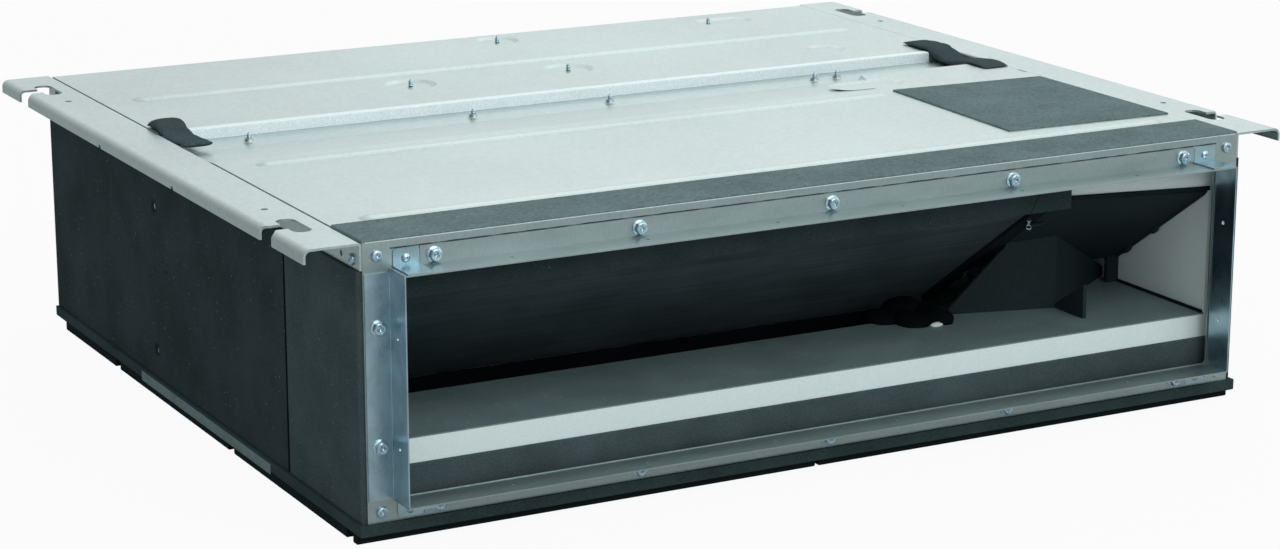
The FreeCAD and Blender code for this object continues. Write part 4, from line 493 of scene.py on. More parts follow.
# Name, recipe, colour and its factor, then the recipe's own values: the strength of pale specks and
# the relief's depth of foam, tarnish and roughness of bare metal, roughness and grain's depth of
# plastic, roughness of steel
SHARED_RECIPES = [
    ("dark_foam", specked_foam, "side_foam", 1.0, 0.9, 0.00012),
    ("front_foam", specked_foam, "side_foam", 1.65, 0.4, 0.00012),
    ("base_foam", specked_foam, "base_foam", 1.0, 0.25, 0.00015),
    ("black_foam", specked_foam, "soft_black", 1.0, 0.35, 0.00015),
    ("strip_foam", specked_foam, "cover", 0.6, 0.1, 0.00012),
    # wet_foam is foam darkened to near black as painted shade, for pieces in the coil's shadow and at the
    # left sheets' seam
    ("wet_foam", specked_foam, "cover", 0.2, 0.1, 0.00008),
    ("copper", tarnished, "copper", 1.0, 0.45, 0.18),
    ("brass", tarnished, "brass", 1.0, 0.62, 0.16),
    ("black_plastic", moulded, "black", 1.0, 0.36, 0.00005),
    ("rotor_plastic", moulded, "rotor", 1.0, 0.40, 0.00005),
    ("pump_plastic", moulded, "pump", 1.0, 0.34, 0.00005),
    ("clear_hose", moulded, "pump", 0.9, 0.28, 0.00005),
    ("mount_rubber", moulded, "black", 1.0, 0.62, 0.00010),
    ("shaft_steel", turned_steel, "steel", 1.0, 0.16),
    ("motor_can", turned_steel, "can", 1.0, 0.30),
]
# Solids whose finish differs from that of their slot
OWN_FINISH = {
    "duct_collar_top": "brushed_sheet",
    "duct_collar_bottom": "brushed_sheet",
    "outlet_frame": "brushed_sheet",
    "coil_end_cover": "cover_plastic",
}


def finish(name):
    """The material of that name."""
    return bpy.data.materials[name]


# Surfaces: a patch is an array of points and an array of four-sided faces
def grid_faces(rows, columns, wrap=True):
    """Faces of a grid of rows by columns of points; a wrapped grid joins its last column to its first."""
    across = columns if wrap else columns - 1
    row, column = np.meshgrid(np.arange(rows - 1) * columns, np.arange(across), indexing="ij")
    beside = (column + 1) % columns
    faces = [row + column, row + beside, row + columns + beside, row + columns + column]
    return np.stack(faces, -1).reshape(-1, 4)


def joined(patches):
    """Several patches as one: each one's faces count on from the points before it."""
    starts = np.cumsum([0] + [len(points) for points, _ in patches[:-1]])
    points = np.concatenate([points for points, _ in patches])
    faces = np.concatenate([faces + start for start, (_, faces) in zip(starts, patches)])
    return points, faces


def repeated(patch, shifts):
    """The patch once for each shift."""
    points, faces = patch
    moved = (points[None] + shifts[:, None]).reshape(-1, 3)
    counted = faces[None] + (np.arange(len(shifts)) * len(points))[:, None, None]
    return moved, counted.reshape(-1, faces.shape[1])


def box_patch(low, high):
    """Closed box between two corners."""
    low, high = np.array(low, float), np.array(high, float)
    pick = np.array([[0, 0, 0], [1, 0, 0], [1, 1, 0], [0, 1, 0], [0, 0, 1], [1, 0, 1], [1, 1, 1], [0, 1, 1]])
    faces = np.array([[0, 3, 2, 1], [4, 5, 6, 7], [0, 1, 5, 4], [1, 2, 6, 5], [2, 3, 7, 6], [3, 0, 4, 7]])
    return low + pick * (high - low), faces


def frame_of(axis):
    """Three unit vectors, the last of them along the axis."""
    axis = np.array(axis, float)
    side = np.array([0.0, 0.0, 1.0]) if abs(axis[2]) < 0.5 else np.array([1.0, 0.0, 0.0])
    first = np.cross(axis, side)
    return np.stack([first, np.cross(axis, first), axis])


def turned(radii, heights, origin, axis, turn=0.0):
    """Surface of revolution: row i has radius radii[i] at heights[i], each one number or one per column."""
    columns = max(np.size(radius) for radius in radii)
    radius = np.stack([np.broadcast_to(r, columns) for r in radii])
    height = np.stack([np.broadcast_to(h, columns) for h in heights])
    angle = turn + np.arange(columns) * 2 * math.pi / columns
    local = np.stack([radius * np.cos(angle), radius * np.sin(angle), height], -1)
    return (local @ frame_of(axis) + origin).reshape(-1, 3), grid_faces(len(radii), columns)


def tube(path, radii, columns=12):
    """Round tube: at each point of the path a circle of its radius square to the path, and closed ends."""
    path = np.array(path, float)
    way = np.gradient(path, axis=0)
    path, way = path[[0, *range(len(path)), -1]], way[[0, *range(len(way)), -1]]
    side = np.cross(way, (0.3, 0.2, 1.0))
    side /= np.linalg.norm(side, axis=1)[:, None]
    other = np.cross(way, side)
    other /= np.linalg.norm(other, axis=1)[:, None]
    radius = np.broadcast_to(radii, len(path) - 2)
    radius = np.concatenate([[0.0], radius, [0.0]])[:, None, None]
    angle = (np.arange(columns) * 2 * math.pi / columns)[:, None]
    points = path[:, None] + radius * (np.cos(angle) * side[:, None] + np.sin(angle) * other[:, None])
    return points.reshape(-1, 3), grid_faces(len(path), columns)


def lump(middle, half, axis, rough=0.0):
    """Ellipsoid about an axis, from half its width and half its length; rough swells it in uneven waves."""
    rows, columns = 20, 32
    polar = np.linspace(0, math.pi, rows)
    angle = np.arange(columns) * 2 * math.pi / columns
    wave = [1 + rough * (np.sin(3 * angle + p * 4) + np.sin(5 * angle - p * 3 + 1) * 0.6) for p in polar]
    radii = [half[0] * math.sin(p) * w for p, w in zip(polar, wave)]
    return turned(radii, [-half[1] * math.cos(p) for p in polar], np.array(middle), axis)


def slope_axes():
    """Directions down along the coil's lower face and square to it, upwards."""
    lean = bpy.context.scene.aircon_coil.lean
    return np.array([0.0, math.cos(lean), -math.sin(lean)]), np.array([0.0, math.sin(lean), math.cos(lean)])


def mesh_object(name, patch, material, crease=40.0):
    """Mesh of a patch: doubled points merge, faces point outwards, edges past the crease stay sharp."""
    points, faces = patch
    mesh = bpy.data.meshes.new(name)
    mesh.from_pydata(points.tolist(), [], faces.tolist())
    shape = bmesh.new()
    shape.from_mesh(mesh)
    bmesh.ops.remove_doubles(shape, verts=shape.verts, dist=MERGE)
    bmesh.ops.recalc_face_normals(shape, faces=shape.faces)
    shape.to_mesh(mesh)
    shape.free()
    mesh.shade_smooth()
    mesh.set_sharp_from_angle(angle=math.radians(crease))
    mesh.materials.append(finish(material))
    piece = bpy.data.objects.new(name, mesh)
    bpy.context.scene.collection.objects.link(piece)
    return piece


def fitted(piece, slot, *replaced, body="casing"):
    """Rides the piece on its body and hides the solids that it stands for; its slot is not used."""
    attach(piece, body)
    if replaced:
        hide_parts(*replaced)
    return piece


def solids_of(node):
    """Points of each separate solid of a CAD node, found on a merged copy of its mesh."""
    shape = bmesh.new()
    shape.from_mesh(nodes[node].data)
    bmesh.ops.remove_doubles(shape, verts=shape.verts, dist=MERGE)
    left = set(shape.verts)
    solids = []
    while left:
        reached = [left.pop()]
        for vert in reached:
            fresh = {edge.other_vert(vert) for edge in vert.link_edges} & left
            left -= fresh
            reached.extend(fresh)
        solids.append(np.array([vert.co[:] for vert in reached]))
    shape.free()
    return sorted(solids, key=lambda points: tuple(np.round(points.mean(0), 4)))


def headed(points):
    """Screw as its solid gives it: the middle of its head's top, its direction and its length. Its
    axis is the one whose size differs most from the other two; its head is at the wider end."""
    low, high = points.min(0), points.max(0)
    middle, size = (low + high) / 2, high - low
    differences = [min(abs(size[i] - size[j]) for j in range(3) if j != i) for i in range(3)]
    along = int(np.argmax(differences))
    others = [i for i in range(3) if i != along]
    reach = []
    for end in (low[along], high[along]):
        near = points[abs(points[:, along] - end) < 1e-4]
        reach.append(np.linalg.norm(near[:, others] - middle[others], axis=1).max())
    axis = np.zeros(3)
    axis[along] = 1.0 if reach[0] > reach[1] else -1.0
    top = middle - axis * size[along] / 2
    return top, axis, size[along]


# Fasteners
# Hexagon head, in millimetres: across its flats, its height, and the radii of its chamfer, of its flat
# top, of the neck under the washer and of the thread's core
HEXAGON_SIZES = (8.0, 3.4, 4.12, 3.55, 2.0, 1.6)
# Pan head, in millimetres: radius of its domed top, the dome's height and the radius of the thread's core
PAN_SIZES = (2.9, 0.25, 1.58)
# Radius and depth below the top, in millimetres, down the side of a pan head and over a rivet
PAN_PROFILE = [(3.55, 0.55), (3.92, 1.15), (3.98, 1.8), (3.9, 2.4), (1.6, 2.4)]
RIVET_PROFILE = [(0.0, 1.5), (0.75, 1.45), (0.8, 0.3), (1.05, 0.05), (1.9, 0.3), (2.7, 0.8), (3.15, 1.35),
                 (3.19, 1.6), (1.6, 1.62)]


def cross_recess(x, y, sizes):
    """Depth of a cross recess at a point of the head: two crossed arms with sloping ends."""
    soft = 0.25 * MM
    distance = np.hypot(x, y)
    arms = []
    for a, b in ((x, y), (y, x)):
        side = np.clip((sizes.recess_width - abs(a)) / soft + 0.5, 0, 1)
        end = np.clip((sizes.recess_arm - abs(b)) / soft, 0, 1)
        arms.append(side * end)
    slope = 1.0 - 0.55 * distance / sizes.recess_arm
    return sizes.recess_depth * np.maximum(*arms) * np.clip(slope, 0, 1)


def recessed_top(radius, dome, sizes):
    """Rows of the head's top from its middle to its rim: a low dome less the cross recess."""
    angle = np.arange(sizes.columns) * 2 * math.pi / sizes.columns
    radii, heights = [], []
    for share in np.linspace(1.0, 0.0, 13)[::-1]:
        r = radius * share
        radii.append(np.full(sizes.columns, r))
        heights.append(dome * share ** 2 + cross_recess(r * np.cos(angle), r * np.sin(angle), sizes))
    return radii, heights


def thread(core, start, end, sizes):
    """Rows of a tapered screw thread: the radius swells once in each pitch, a little later at each column."""
    columns = sizes.columns
    lag = np.arange(columns) / columns
    step, point = 0.22 * MM, 1.8 * MM
    radii, heights = [], []
    for height in np.arange(start, end, step):
        taper = np.clip((end - height) / point, 0.05, 1.0)
        phase = (height / sizes.thread_pitch + lag) % 1.0
        ridge = np.clip(1.0 - abs(phase - 0.5) * 3.2, 0, 1)
        radii.append((core + sizes.thread_depth * ridge) * taper)
        heights.append(np.full(columns, height))
    return radii + [np.zeros(columns)], heights + [np.full(columns, end)]


def hexagon(flat, columns):
    """Distance from the middle to a hexagon's side, at each column."""
    angle = np.arange(columns) * 2 * math.pi / columns
    return flat / 2 / np.cos((angle + math.pi / 6) % (math.pi / 3) - math.pi / 6)


def screw(points, turn, sizes, top_rows, profile, core):
    """Screw in place of its solid: the rows of its head's top, those of its side and its thread."""
    top, axis, tall = headed(points)
    radii, heights = top_rows
    for radius, height in profile:
        radii.append(np.broadcast_to(radius, sizes.columns))
        heights.append(np.full(sizes.columns, height))
    threads = thread(core, profile[-1][1] + 0.05 * MM, tall, sizes)
    return turned(radii + threads[0], heights + threads[1], top, axis, turn)


def hexagon_screw(points, turn, sizes):
    """Hexagon head with a dished washer and a cross recess, and its shank through the ring."""
    washer = np.ptp(points, axis=0)[0] / 2
    flats, head, chamfer, flat_top, neck, core = np.array(HEXAGON_SIZES) * MM
    six = hexagon(flats, sizes.columns)
    foot = head + sizes.washer
    profile = [(np.minimum(six, chamfer), 0.35 * MM), (six, 0.75 * MM), (six, head),
               (six * 1.03, head + 0.05 * MM), (washer * 0.93, head + 0.30 * MM),
               (washer, head + 0.45 * MM), (washer, foot), (neck, foot)]
    return screw(points, turn, sizes, recessed_top(flat_top, 0.0, sizes), profile, core)


def pan_screw(points, turn, sizes):
    """Pan head with a cross recess, and a threaded shank with a short point."""
    rim, dome, core = np.array(PAN_SIZES) * MM
    profile = [(radius * MM, height * MM) for radius, height in PAN_PROFILE]
    return screw(points, turn, sizes, recessed_top(rim, dome, sizes), profile, core)


def rivet(points, sizes):
    """Dome-headed blind rivet with the hollow that its pin leaves."""
    low, high = points.min(0), points.max(0)
    origin = np.array([(low[0] + high[0]) / 2, low[1], (low[2] + high[2]) / 2])
    tall = (high[1] - low[1]) / MM
    profile = [*RIVET_PROFILE, (RIVET_PROFILE[-1][0], tall), (0.0, tall)]
    radii = [np.full(sizes.columns, r * MM) for r, _ in profile]
    heights = [h * MM for _, h in profile]
    return turned(radii, heights, origin, (0, 1, 0))


class AIRCON_OT_finishes(bpy.types.Operator):
    """Makes the finishes and gives each CAD node the finish of its slot"""

    bl_idname = "aircon.finishes"
    bl_label = "Finishes"

    def execute(self, context):
        colours = context.scene.aircon_colours
        for make in OWN_RECIPES:
            make(colours)
        for name, recipe, colour, factor, *values in SHARED_RECIPES:
            recipe(name, shade(getattr(colours, colour), factor), *values)
        for subpart in frame["record"]["subparts"]:
            materials = nodes[subpart["node"]].data.materials
            materials.clear()
            materials.append(finish(OWN_FINISH.get(subpart["node"], subpart["material_slot"])))
        return {"FINISHED"}


class AIRCON_OT_screws(bpy.types.Operator):
    """Makes hexagon screws, pan screws and rivets with their recesses and threads"""

    bl_idname = "aircon.screws"
    bl_label = "Screws and rivets"

    def execute(self, context):
        sizes = context.scene.aircon_fasteners
        draw = np.random.default_rng(SEED)
        kinds = (("ring_screws", "hex_screws", hexagon_screw), ("pan_screws", "tapping_screws", pan_screw))
        for name, node, make in kinds:
            patches = [make(points, draw.uniform(0, math.pi / 2), sizes) for points in solids_of(node)]
            fitted(mesh_object(name, joined(patches), "fastener_zinc", 30.0), "fastener_zinc", node)
        rivets = joined([rivet(points, sizes) for points in solids_of("lug_rivets")])
        fitted(mesh_object("corner_rivets", rivets, "fastener_zinc", 30.0), "fastener_zinc", "lug_rivets")
        return {"FINISHED"}


class AIRCON_OT_sleeves(bpy.types.Operator):
    """Makes the drawn sleeves that stand round the screws in the top joint's groove"""

    bl_idname = "aircon.sleeves"
    bl_label = "Screw sleeves"

    def execute(self, context):
        sizes = context.scene.aircon_fasteners
        sleeves = []
        for points in solids_of("tapping_screws"):
            top, axis, _ = headed(points)
            if axis[2] < 0.5 or top[1] > joint_y:
                continue
            inner, outer, tall = 2.15 * MM, sizes.sleeve_radius, sizes.sleeve_height
            rows = [(outer + 1.4 * MM, 0.0), (outer + 0.3 * MM, 0.35 * MM), (outer, 0.9 * MM),
                    (outer - 0.2 * MM, tall), (inner + 0.25 * MM, tall + 0.15 * MM),
                    (inner, tall - 0.1 * MM), (inner, 0.0), (outer + 1.4 * MM, 0.0)]
            radii = [np.full(sizes.columns, r) for r, _ in rows]
            origin = np.array([top[0], top[1], groove_z])
            sleeves.append(turned(radii, [h for _, h in rows], origin, axis))
        fitted(mesh_object("screw_sleeves", joined(sleeves), "galvanised_sheet", 50.0), "galvanised_sheet")
        return {"FINISHED"}


# Foam
def edge_height(distance, thick, radius):
    """Height of a sheet with rounded edges at a distance in from its edge."""
    inside = np.clip(radius - distance, 0, radius)
    return thick - radius + np.sqrt(np.maximum(radius ** 2 - inside ** 2, 0))


def side_steps(size, radius, spacing):
    """Distances along one side: close together in the rounded edge, even between."""
    curve = radius * (1 - np.cos(np.linspace(0, math.pi / 2, 5)))
    count = max(2, int(round((size - 2 * radius) / spacing)))
    even = np.linspace(radius, size - radius, count + 1)[1:-1]
    return np.concatenate([[0.0], curve, even, size - curve[::-1], [size]])


def foam_sheet(four, thick, sizes, ripple, phase):
    """Foam sheet on four corners: its height follows a quarter round at the edges, and its face sinks
    in slow waves. four are the corners of the bedded face in order, thick is the vector from it to the
    outer face, ripple is the share of the foam's ripple that it shows, and phase shifts its waves."""
    a, b, c, d = (np.array(corner, float) for corner in four)
    thick = np.array(thick, float)
    tall = np.linalg.norm(thick)
    radius = min(sizes.edge, tall * 0.6)
    along, across = np.linalg.norm(d - a), np.linalg.norm(b - a)
    u = side_steps(along, radius, sizes.spacing)
    v = side_steps(across, radius, sizes.spacing)
    uu, vv = np.meshgrid(u, v, indexing="ij")
    rim = np.minimum(np.minimum(uu, along - uu), np.minimum(vv, across - vv))
    height = edge_height(rim, tall, radius)
    wave = (np.sin(uu * 57 + 1.3 + phase) + np.sin(vv * 83 + 0.4 + phase) + np.sin((uu + vv) * 131 + phase)
            + np.sin((uu - vv) * 211 + 2.1 * phase)) / 8 + 0.5
    height = height - sizes.ripple * ripple * wave * np.clip(rim / (4 * radius), 0, 1)
    first = np.arange(len(u)) % (len(u) - 1) == 0
    second = np.arange(len(v)) % (len(v) - 1) == 0
    height[first, :] = 0
    height[:, second] = 0
    s, t = (uu / along)[..., None], (vv / across)[..., None]
    bed = (1 - s) * ((1 - t) * a + t * b) + s * ((1 - t) * d + t * c)
    over = bed + height[..., None] * thick / tall
    faces = grid_faces(len(u), len(v), wrap=False)
    return joined([(over.reshape(-1, 3), faces), (bed.reshape(-1, 3), faces[:, ::-1])])


def rectangle(low, high, axis, outer):
    """Corners of a box's bedded face, and the vector to its outer face, towards outer, +1 or -1."""
    first, second = [i for i in range(3) if i != axis]
    four = []
    for i, j in ((0, 0), (1, 0), (1, 1), (0, 1)):
        corner = np.array(low if outer > 0 else high, float)
        corner[first] = (low, high)[i][first]
        corner[second] = (low, high)[j][second]
        four.append(corner)
    thick = np.zeros(3)
    thick[axis] = outer * (high[axis] - low[axis])
    return four, thick


def cut_away(piece, tools):
    """Cuts closed tool patches out of a piece, and gives it the result as its mesh."""
    tool = mesh_object("tool", joined(tools), "black_foam")
    cutter = piece.modifiers.new("cut", "BOOLEAN")
    cutter.operation = "DIFFERENCE"
    cutter.solver = "EXACT"
    cutter.object = tool
    bpy.context.view_layer.update()
    result = bpy.data.meshes.new_from_object(piece.evaluated_get(bpy.context.evaluated_depsgraph_get()))
    piece.modifiers.clear()
    piece.data = result
    bpy.data.objects.remove(tool)


def drill(y, z, radius, x0, x1):
    """Closed cylinder along X, as a cutting tool."""
    side = np.full(24, radius)
    return turned([0.0, side, side, 0.0], [0.0, 0.0, x1 - x0, x1 - x0], np.array([x0, y, z]), (1, 0, 0))


# Holes in the left rear sheet: places from the outlet and up, and radii
PEEP_HOLES = [(0.381, 0.133, 4.5 * MM), (0.385, 0.021, 4.5 * MM), (0.358, 0.087, 1.5 * MM)]
# Share of a hole's radius that its rivet fills, and half the rivet's height
PEEP_FILL = 0.8
PEEP_RISE = 1.4 * MM
# Holes in the right sheet round the pipes' nuts and the drain socket
NUT_HOLE = 9.0 * MM
SOCKET_HOLE = 17 * MM


class AIRCON_OT_side_foam(bpy.types.Operator):
    """Makes the insulation sheets on both sides, with their holes and windows"""

    bl_idname = "aircon.side_foam"
    bl_label = "Side insulation"

    def execute(self, context):
        sizes = context.scene.aircon_foam
        sheets = (("side_insulation_left_front", -1, "front_foam"),
                  ("side_insulation_left_rear", -1, "dark_foam"), ("side_insulation_right", 1, "dark_foam"))
        for k, (node, way, material) in enumerate(sheets):
            low, high = corners(node)
            four, thick = rectangle(low, high, 0, way)
            sheet = foam_sheet(four, thick, sizes, 1.0, k)
            piece = mesh_object(node.replace("insulation", "foam"), sheet, material)
            tools = self.tools(node, low, high)
            if tools:
                cut_away(piece, tools)
            fitted(piece, "dark_foam", node)
        self.left_details(sizes)
        return {"FINISHED"}

    def left_details(self, sizes):
        """Rivets of the panel in the peep holes, and a thin near-black sheet where the two left sheets meet,
        a painted shadow of the step between them.
        """
        panel = corners("side_panel_left")[0][0]
        rivets = []
        for y, z, radius in PEEP_HOLES:
            place = (panel - MM, case_low[1] + y + MM, case_low[2] + z)
            rivets.append(lump(place, (radius * PEEP_FILL, PEEP_RISE), (-1, 0, 0)))
        fitted(mesh_object("side_rivets", joined(rivets), "galvanised_sheet"), "galvanised_sheet")
        (face, _, foot), (_, seam, head) = corners("side_insulation_left_front")
        rear = corners("side_insulation_left_rear")[0][1]
        four, _ = rectangle((face, seam - MM, foot + MM), (face, rear + MM, head - MM), 0, -1)
        # Painted shadow: a thin near-black sheet along the seam of the left sheets
        line = mesh_object("side_seam", foam_sheet(four, (-0.25 * MM, 0, 0), sizes, 0.1, 5.0), "wet_foam")
        fitted(line, "black_foam")

    def tools(self, node, low, high):
        """Cutting tools: peep holes in the left rear sheet, a window and round holes in the right one."""
        margin = 2 * MM
        x0, x1 = low[0] - margin, high[0] + margin
        if node == "side_insulation_left_rear":
            return [drill(case_low[1] + y, case_low[2] + z, radius, x0, x1) for y, z, radius in PEEP_HOLES]
        if node == "side_insulation_right":
            lid_low, lid_high = corners("control_box_cover")
            tools = [box_patch((x0, *(lid_low[1:] - margin)), (x1, *(lid_high[1:] + margin)))]
            for place in solids_of("flare_nuts"):
                _, y, z = (place.min(0) + place.max(0)) / 2
                tools.append(drill(y, z, NUT_HOLE, x0, x1))
            _, y, z = sum(corners("drain_socket")) / 2
            tools.append(drill(y, z, SOCKET_HOLE, x0, x1))
            return tools
        return []


# Foam laid flat: solid, axis and direction of its thickness, piece, finish and slot
FLAT_SHEETS = [
    ("base_insulation", 2, -1, "base_foam_sheet", "base_foam", "base_foam"),
    ("base_pads", 2, -1, "base_strips", "strip_foam", "base_foam"),
    ("top_foam_strip", 2, 1, "front_strip", "grey_felt", "grey_felt"),
    ("sill_insulation", 1, -1, "mouth_strips", "black_foam", "black_foam"),
]
# Share of its solid's thickness that the felt on the top has
FELT_SHARE = 0.5
# An outer pad lies further than this from the middle, and the head strip this much above the casing's foot
FAR = 0.1
# How far from its right end the head strip's dark end begins at the top, and how much sooner at the foot
HEAD_END = 14 * MM
HEAD_SLANT = 22 * MM
# Tape on the base insulation: ends from the outlet, edges from the sheet's foot and head, thickness
TAPE_ENDS = (0.1545, 0.415)
TAPE_EDGES = (1.5 * MM, 2 * MM)
TAPE_SHEET = 0.3 * MM
# How far each corner of the pad on the top is out of square, in millimetres
PAD_SKEW = (6.0, 5.0, 2.0, 9.0)


class AIRCON_OT_flat_foam(bpy.types.Operator):
    """Makes the base insulation with its pads and tape, the felt on the top and the strips in the outlet"""

    bl_idname = "aircon.flat_foam"
    bl_label = "Foam strips and pads"

    def execute(self, context):
        sizes = context.scene.aircon_foam
        for node, axis, way, name, material, slot in FLAT_SHEETS:
            sheets, finishes = [], []
            for k, points in enumerate(solids_of(node)):
                low, high = self.reshaped(node, points, sizes)
                four, thick = rectangle(low, high, axis, way)
                if node == "top_foam_strip":
                    thick = thick * FELT_SHARE
                shares = [(four, material)]
                if node == "sill_insulation" and low[2] > case_low[2] + FAR:
                    shares = self.head(four, high[0])
                for outline, share in shares:
                    sheets.append(foam_sheet(outline, thick, sizes, 0.6, axis + k))
                    finishes += [share] * len(sheets[-1][1])
            piece = mesh_object(name, joined(sheets), material)
            order = [material, *sorted(set(finishes) - {material})]
            for other in order[1:]:
                piece.data.materials.append(finish(other))
            piece.data.polygons.foreach_set("material_index", [order.index(share) for share in finishes])
            fitted(piece, slot, node)
        self.top_pad(sizes)
        self.edge_tape(sizes)
        return {"FINISHED"}

    def reshaped(self, node, points, sizes):
        """A solid's corners: the base sheet thinner, its pads thicker, shorter and reaching out sideways."""
        low, high = points.min(0), points.max(0)
        if node == "base_insulation":
            low[2] += sizes.pad_rise
        if node == "base_pads":
            low += (-sizes.pad_reach * (low[0] < -FAR), sizes.pad_gap, 0)
            high += (sizes.pad_reach * (high[0] > FAR), -sizes.pad_gap, sizes.pad_rise)
        return low, high

    def head(self, four, right):
        """Head strip cut in two on a slant: its dark end carries on the strip on the coil's end."""
        middle = (four[0][2] + four[2][2]) / 2
        cuts = [right - HEAD_END - HEAD_SLANT * (z < middle) for _, _, z in four]
        long = [(min(x, cut), y, z) for (x, y, z), cut in zip(four, cuts)]
        end = [(max(x, cut), y, z) for (x, y, z), cut in zip(four, cuts)]
        return [(long, "dark_foam"), (end, "strip_foam")]

    def top_pad(self, sizes):
        """Four-sided pad, cut by hand and so a little out of square."""
        low, high = corners("top_foam_pad")
        skew = np.array(PAD_SKEW) * MM
        four = [(low[0], low[1] + skew[1], low[2]), (high[0], low[1], low[2]),
                (high[0] - skew[2], high[1] - skew[3], low[2]), (low[0] + skew[0], high[1], low[2])]
        thick = (0, 0, (high[2] - low[2]) * FELT_SHARE)
        piece = mesh_object("top_pad", foam_sheet(four, thick, sizes, 0.6, 3.0), "grey_felt")
        fitted(piece, "grey_felt", "top_foam_pad")

    def edge_tape(self, sizes):
        """Light tape stuck along the left edge of the base insulation."""
        low, high = corners("base_insulation")
        start, end = (case_low[1] + place for place in TAPE_ENDS)
        foot, head = low[2] + TAPE_EDGES[0], high[2] - TAPE_EDGES[1]
        four = [(low[0], end, foot), (low[0], start, foot), (low[0], start, head), (low[0], end, head)]
        tape = mesh_object("edge_tape", foam_sheet(four, (-TAPE_SHEET, 0, 0), sizes, 0.1, 7.0), "grey_felt")
        fitted(tape, "grey_felt")


def tongue(x0, x1, under, over, lumps):
    """Foam tongue: sections with rounded corners, carried along between an under and an over line of
    (y, z) that are smoothed first, with round caps at both ends and slow and quick waves on its top."""
    rows, columns, window, cap_share, side_power, top_power = 60, 40, 5, 0.03, 0.55, 0.75
    start, end = max(under[0][0], over[0][0]), min(under[-1][0], over[-1][0])
    y = np.linspace(start, end, rows)
    low = np.interp(y, *under.T)
    high = np.interp(y, *over.T)
    smooth = np.ones(window) / window
    low[2:-2] = np.convolve(low, smooth, "valid")
    high[2:-2] = np.convolve(high, smooth, "valid")
    share = np.linspace(0, 1, rows)
    cap = np.clip(np.minimum(share, 1 - share) / cap_share, 0, 1) ** 0.5
    angle = np.arange(columns) * 2 * math.pi / columns
    across = np.sign(np.cos(angle)) * abs(np.cos(angle)) ** side_power
    rise = np.sign(np.sin(angle)) * abs(np.sin(angle)) ** top_power
    half, middle = (high - low) / 2 * cap, (high + low) / 2
    slow, quick = np.sin(y * 160)[:, None], np.sin(y * 390 + 1)[:, None]
    wave = 1 + lumps * (slow * np.cos(angle * 2) + quick * np.sin(angle * 3))
    x = (x0 + x1) / 2 + (x1 - x0) / 2 * across * (0.96 + 0.04 * cap[:, None]) * np.minimum(wave, 1.0)
    z = middle[:, None] + half[:, None] * rise * np.where(rise > 0, wave, 1.0)
    points = np.stack([x, np.broadcast_to(y[:, None], x.shape), z], -1)
    return points.reshape(-1, 3), grid_faces(rows, columns)


# Under and over line of each tongue, in millimetres from the joint backwards and from the top up
TONGUES = {
    "left": (((-54, -1.1), (-40, -2.4), (-24.5, -3.2), (-6, -2.9), (-0.5, 0.2), (26, 0.05)),
             ((-54, 3.0), (-40, 2.2), (-25, 1.2), (-12, 1.6), (0, 5.4), (6, 7.6), (13, 8.4), (20, 6.6),
              (26, 1.6))),
    "right": (((-82, 0.05), (-56, 0.05), (-45, -6.4), (-4, -6.4), (0, 0.1), (42, 0.1)),
              ((-82, 1.5), (-66, 3.8), (-45, 1.6), (-22, -2.2), (-8, 2.4), (6, 4.9), (24, 4.4),
               (42, 2.6))),
}
# How much the tongues swell and sink along their length, as a share of their height
TONGUE_LUMPS = 0.06


class AIRCON_OT_joint_foam(bpy.types.Operator):
    """Makes the two soft foam tongues that close the ends of the top joint"""

    bl_idname = "aircon.joint_foam"
    bl_label = "Joint foam"

    def execute(self, context):
        for side, (under, over) in TONGUES.items():
            lines = [np.array(line) * MM + (joint_y, plate_top) for line in (under, over)]
            low, high = corners(f"joint_foam_{side}")
            piece = mesh_object(f"{side}_tongue", tongue(low[0], high[0], *lines, TONGUE_LUMPS), "black_foam")
            fitted(piece, "black_foam", f"joint_foam_{side}")
        return {"FINISHED"}


class AIRCON_OT_joint_strip(bpy.types.Operator):
    """Makes the strip that laps the rear plate's edge and closes the joint's wall, pale to paint the wall's
    highlight
    """

    bl_idname = "aircon.joint_strip"
    bl_label = "Joint strip"

    def execute(self, context):
        sizes = context.scene.aircon_trim
        lift, inner, behind, slack = 0.05 * MM, 0.4 * MM, 0.3 * MM, 0.5 * MM
        outer = inner + sizes.strip_sheet
        top = plate_top + lift
        x0, x1 = corners("joint_foam_left")[1][0] + MM, corners("joint_foam_right")[0][0] - MM
        centre = np.array([joint_y + behind, top - inner])
        back, foot = joint_y + sizes.strip_lap, groove_z + 0.1 * MM
        bend = np.linspace(math.pi / 2, math.pi, 7)
        arcs = [centre + r * np.stack([np.cos(bend), np.sin(bend)], -1) for r in (outer, inner)]
        over = [(back, top + sizes.strip_sheet), *arcs[0], (centre[0] - outer - slack, foot)]
        under = [(centre[0] - inner - slack, foot), *arcs[1][::-1], (back, top)]
        outline = np.array(over + under)
        rows, around = 12, len(outline)
        points = np.zeros((rows, around, 3))
        points[..., 0] = np.linspace(x0, x1, rows)[:, None]
        points[..., 1:] = outline
        step = np.arange(len(over) - 1)
        end = np.stack([step, step + 1, around - 2 - step, around - 1 - step], -1)
        faces = np.concatenate([grid_faces(rows, around), end[:, ::-1], end + (rows - 1) * around])
        # Its pale zinc is painted highlight on the joint's wall
        strip = mesh_object("joint_strip", (points.reshape(-1, 3), faces), "joint_zinc")
        fitted(strip, "galvanised_sheet")
        return {"FINISHED"}


# Points along the painted shadow line on the collar and the painted highlight line on the frame's rolled edge
LINE_POINTS = 160


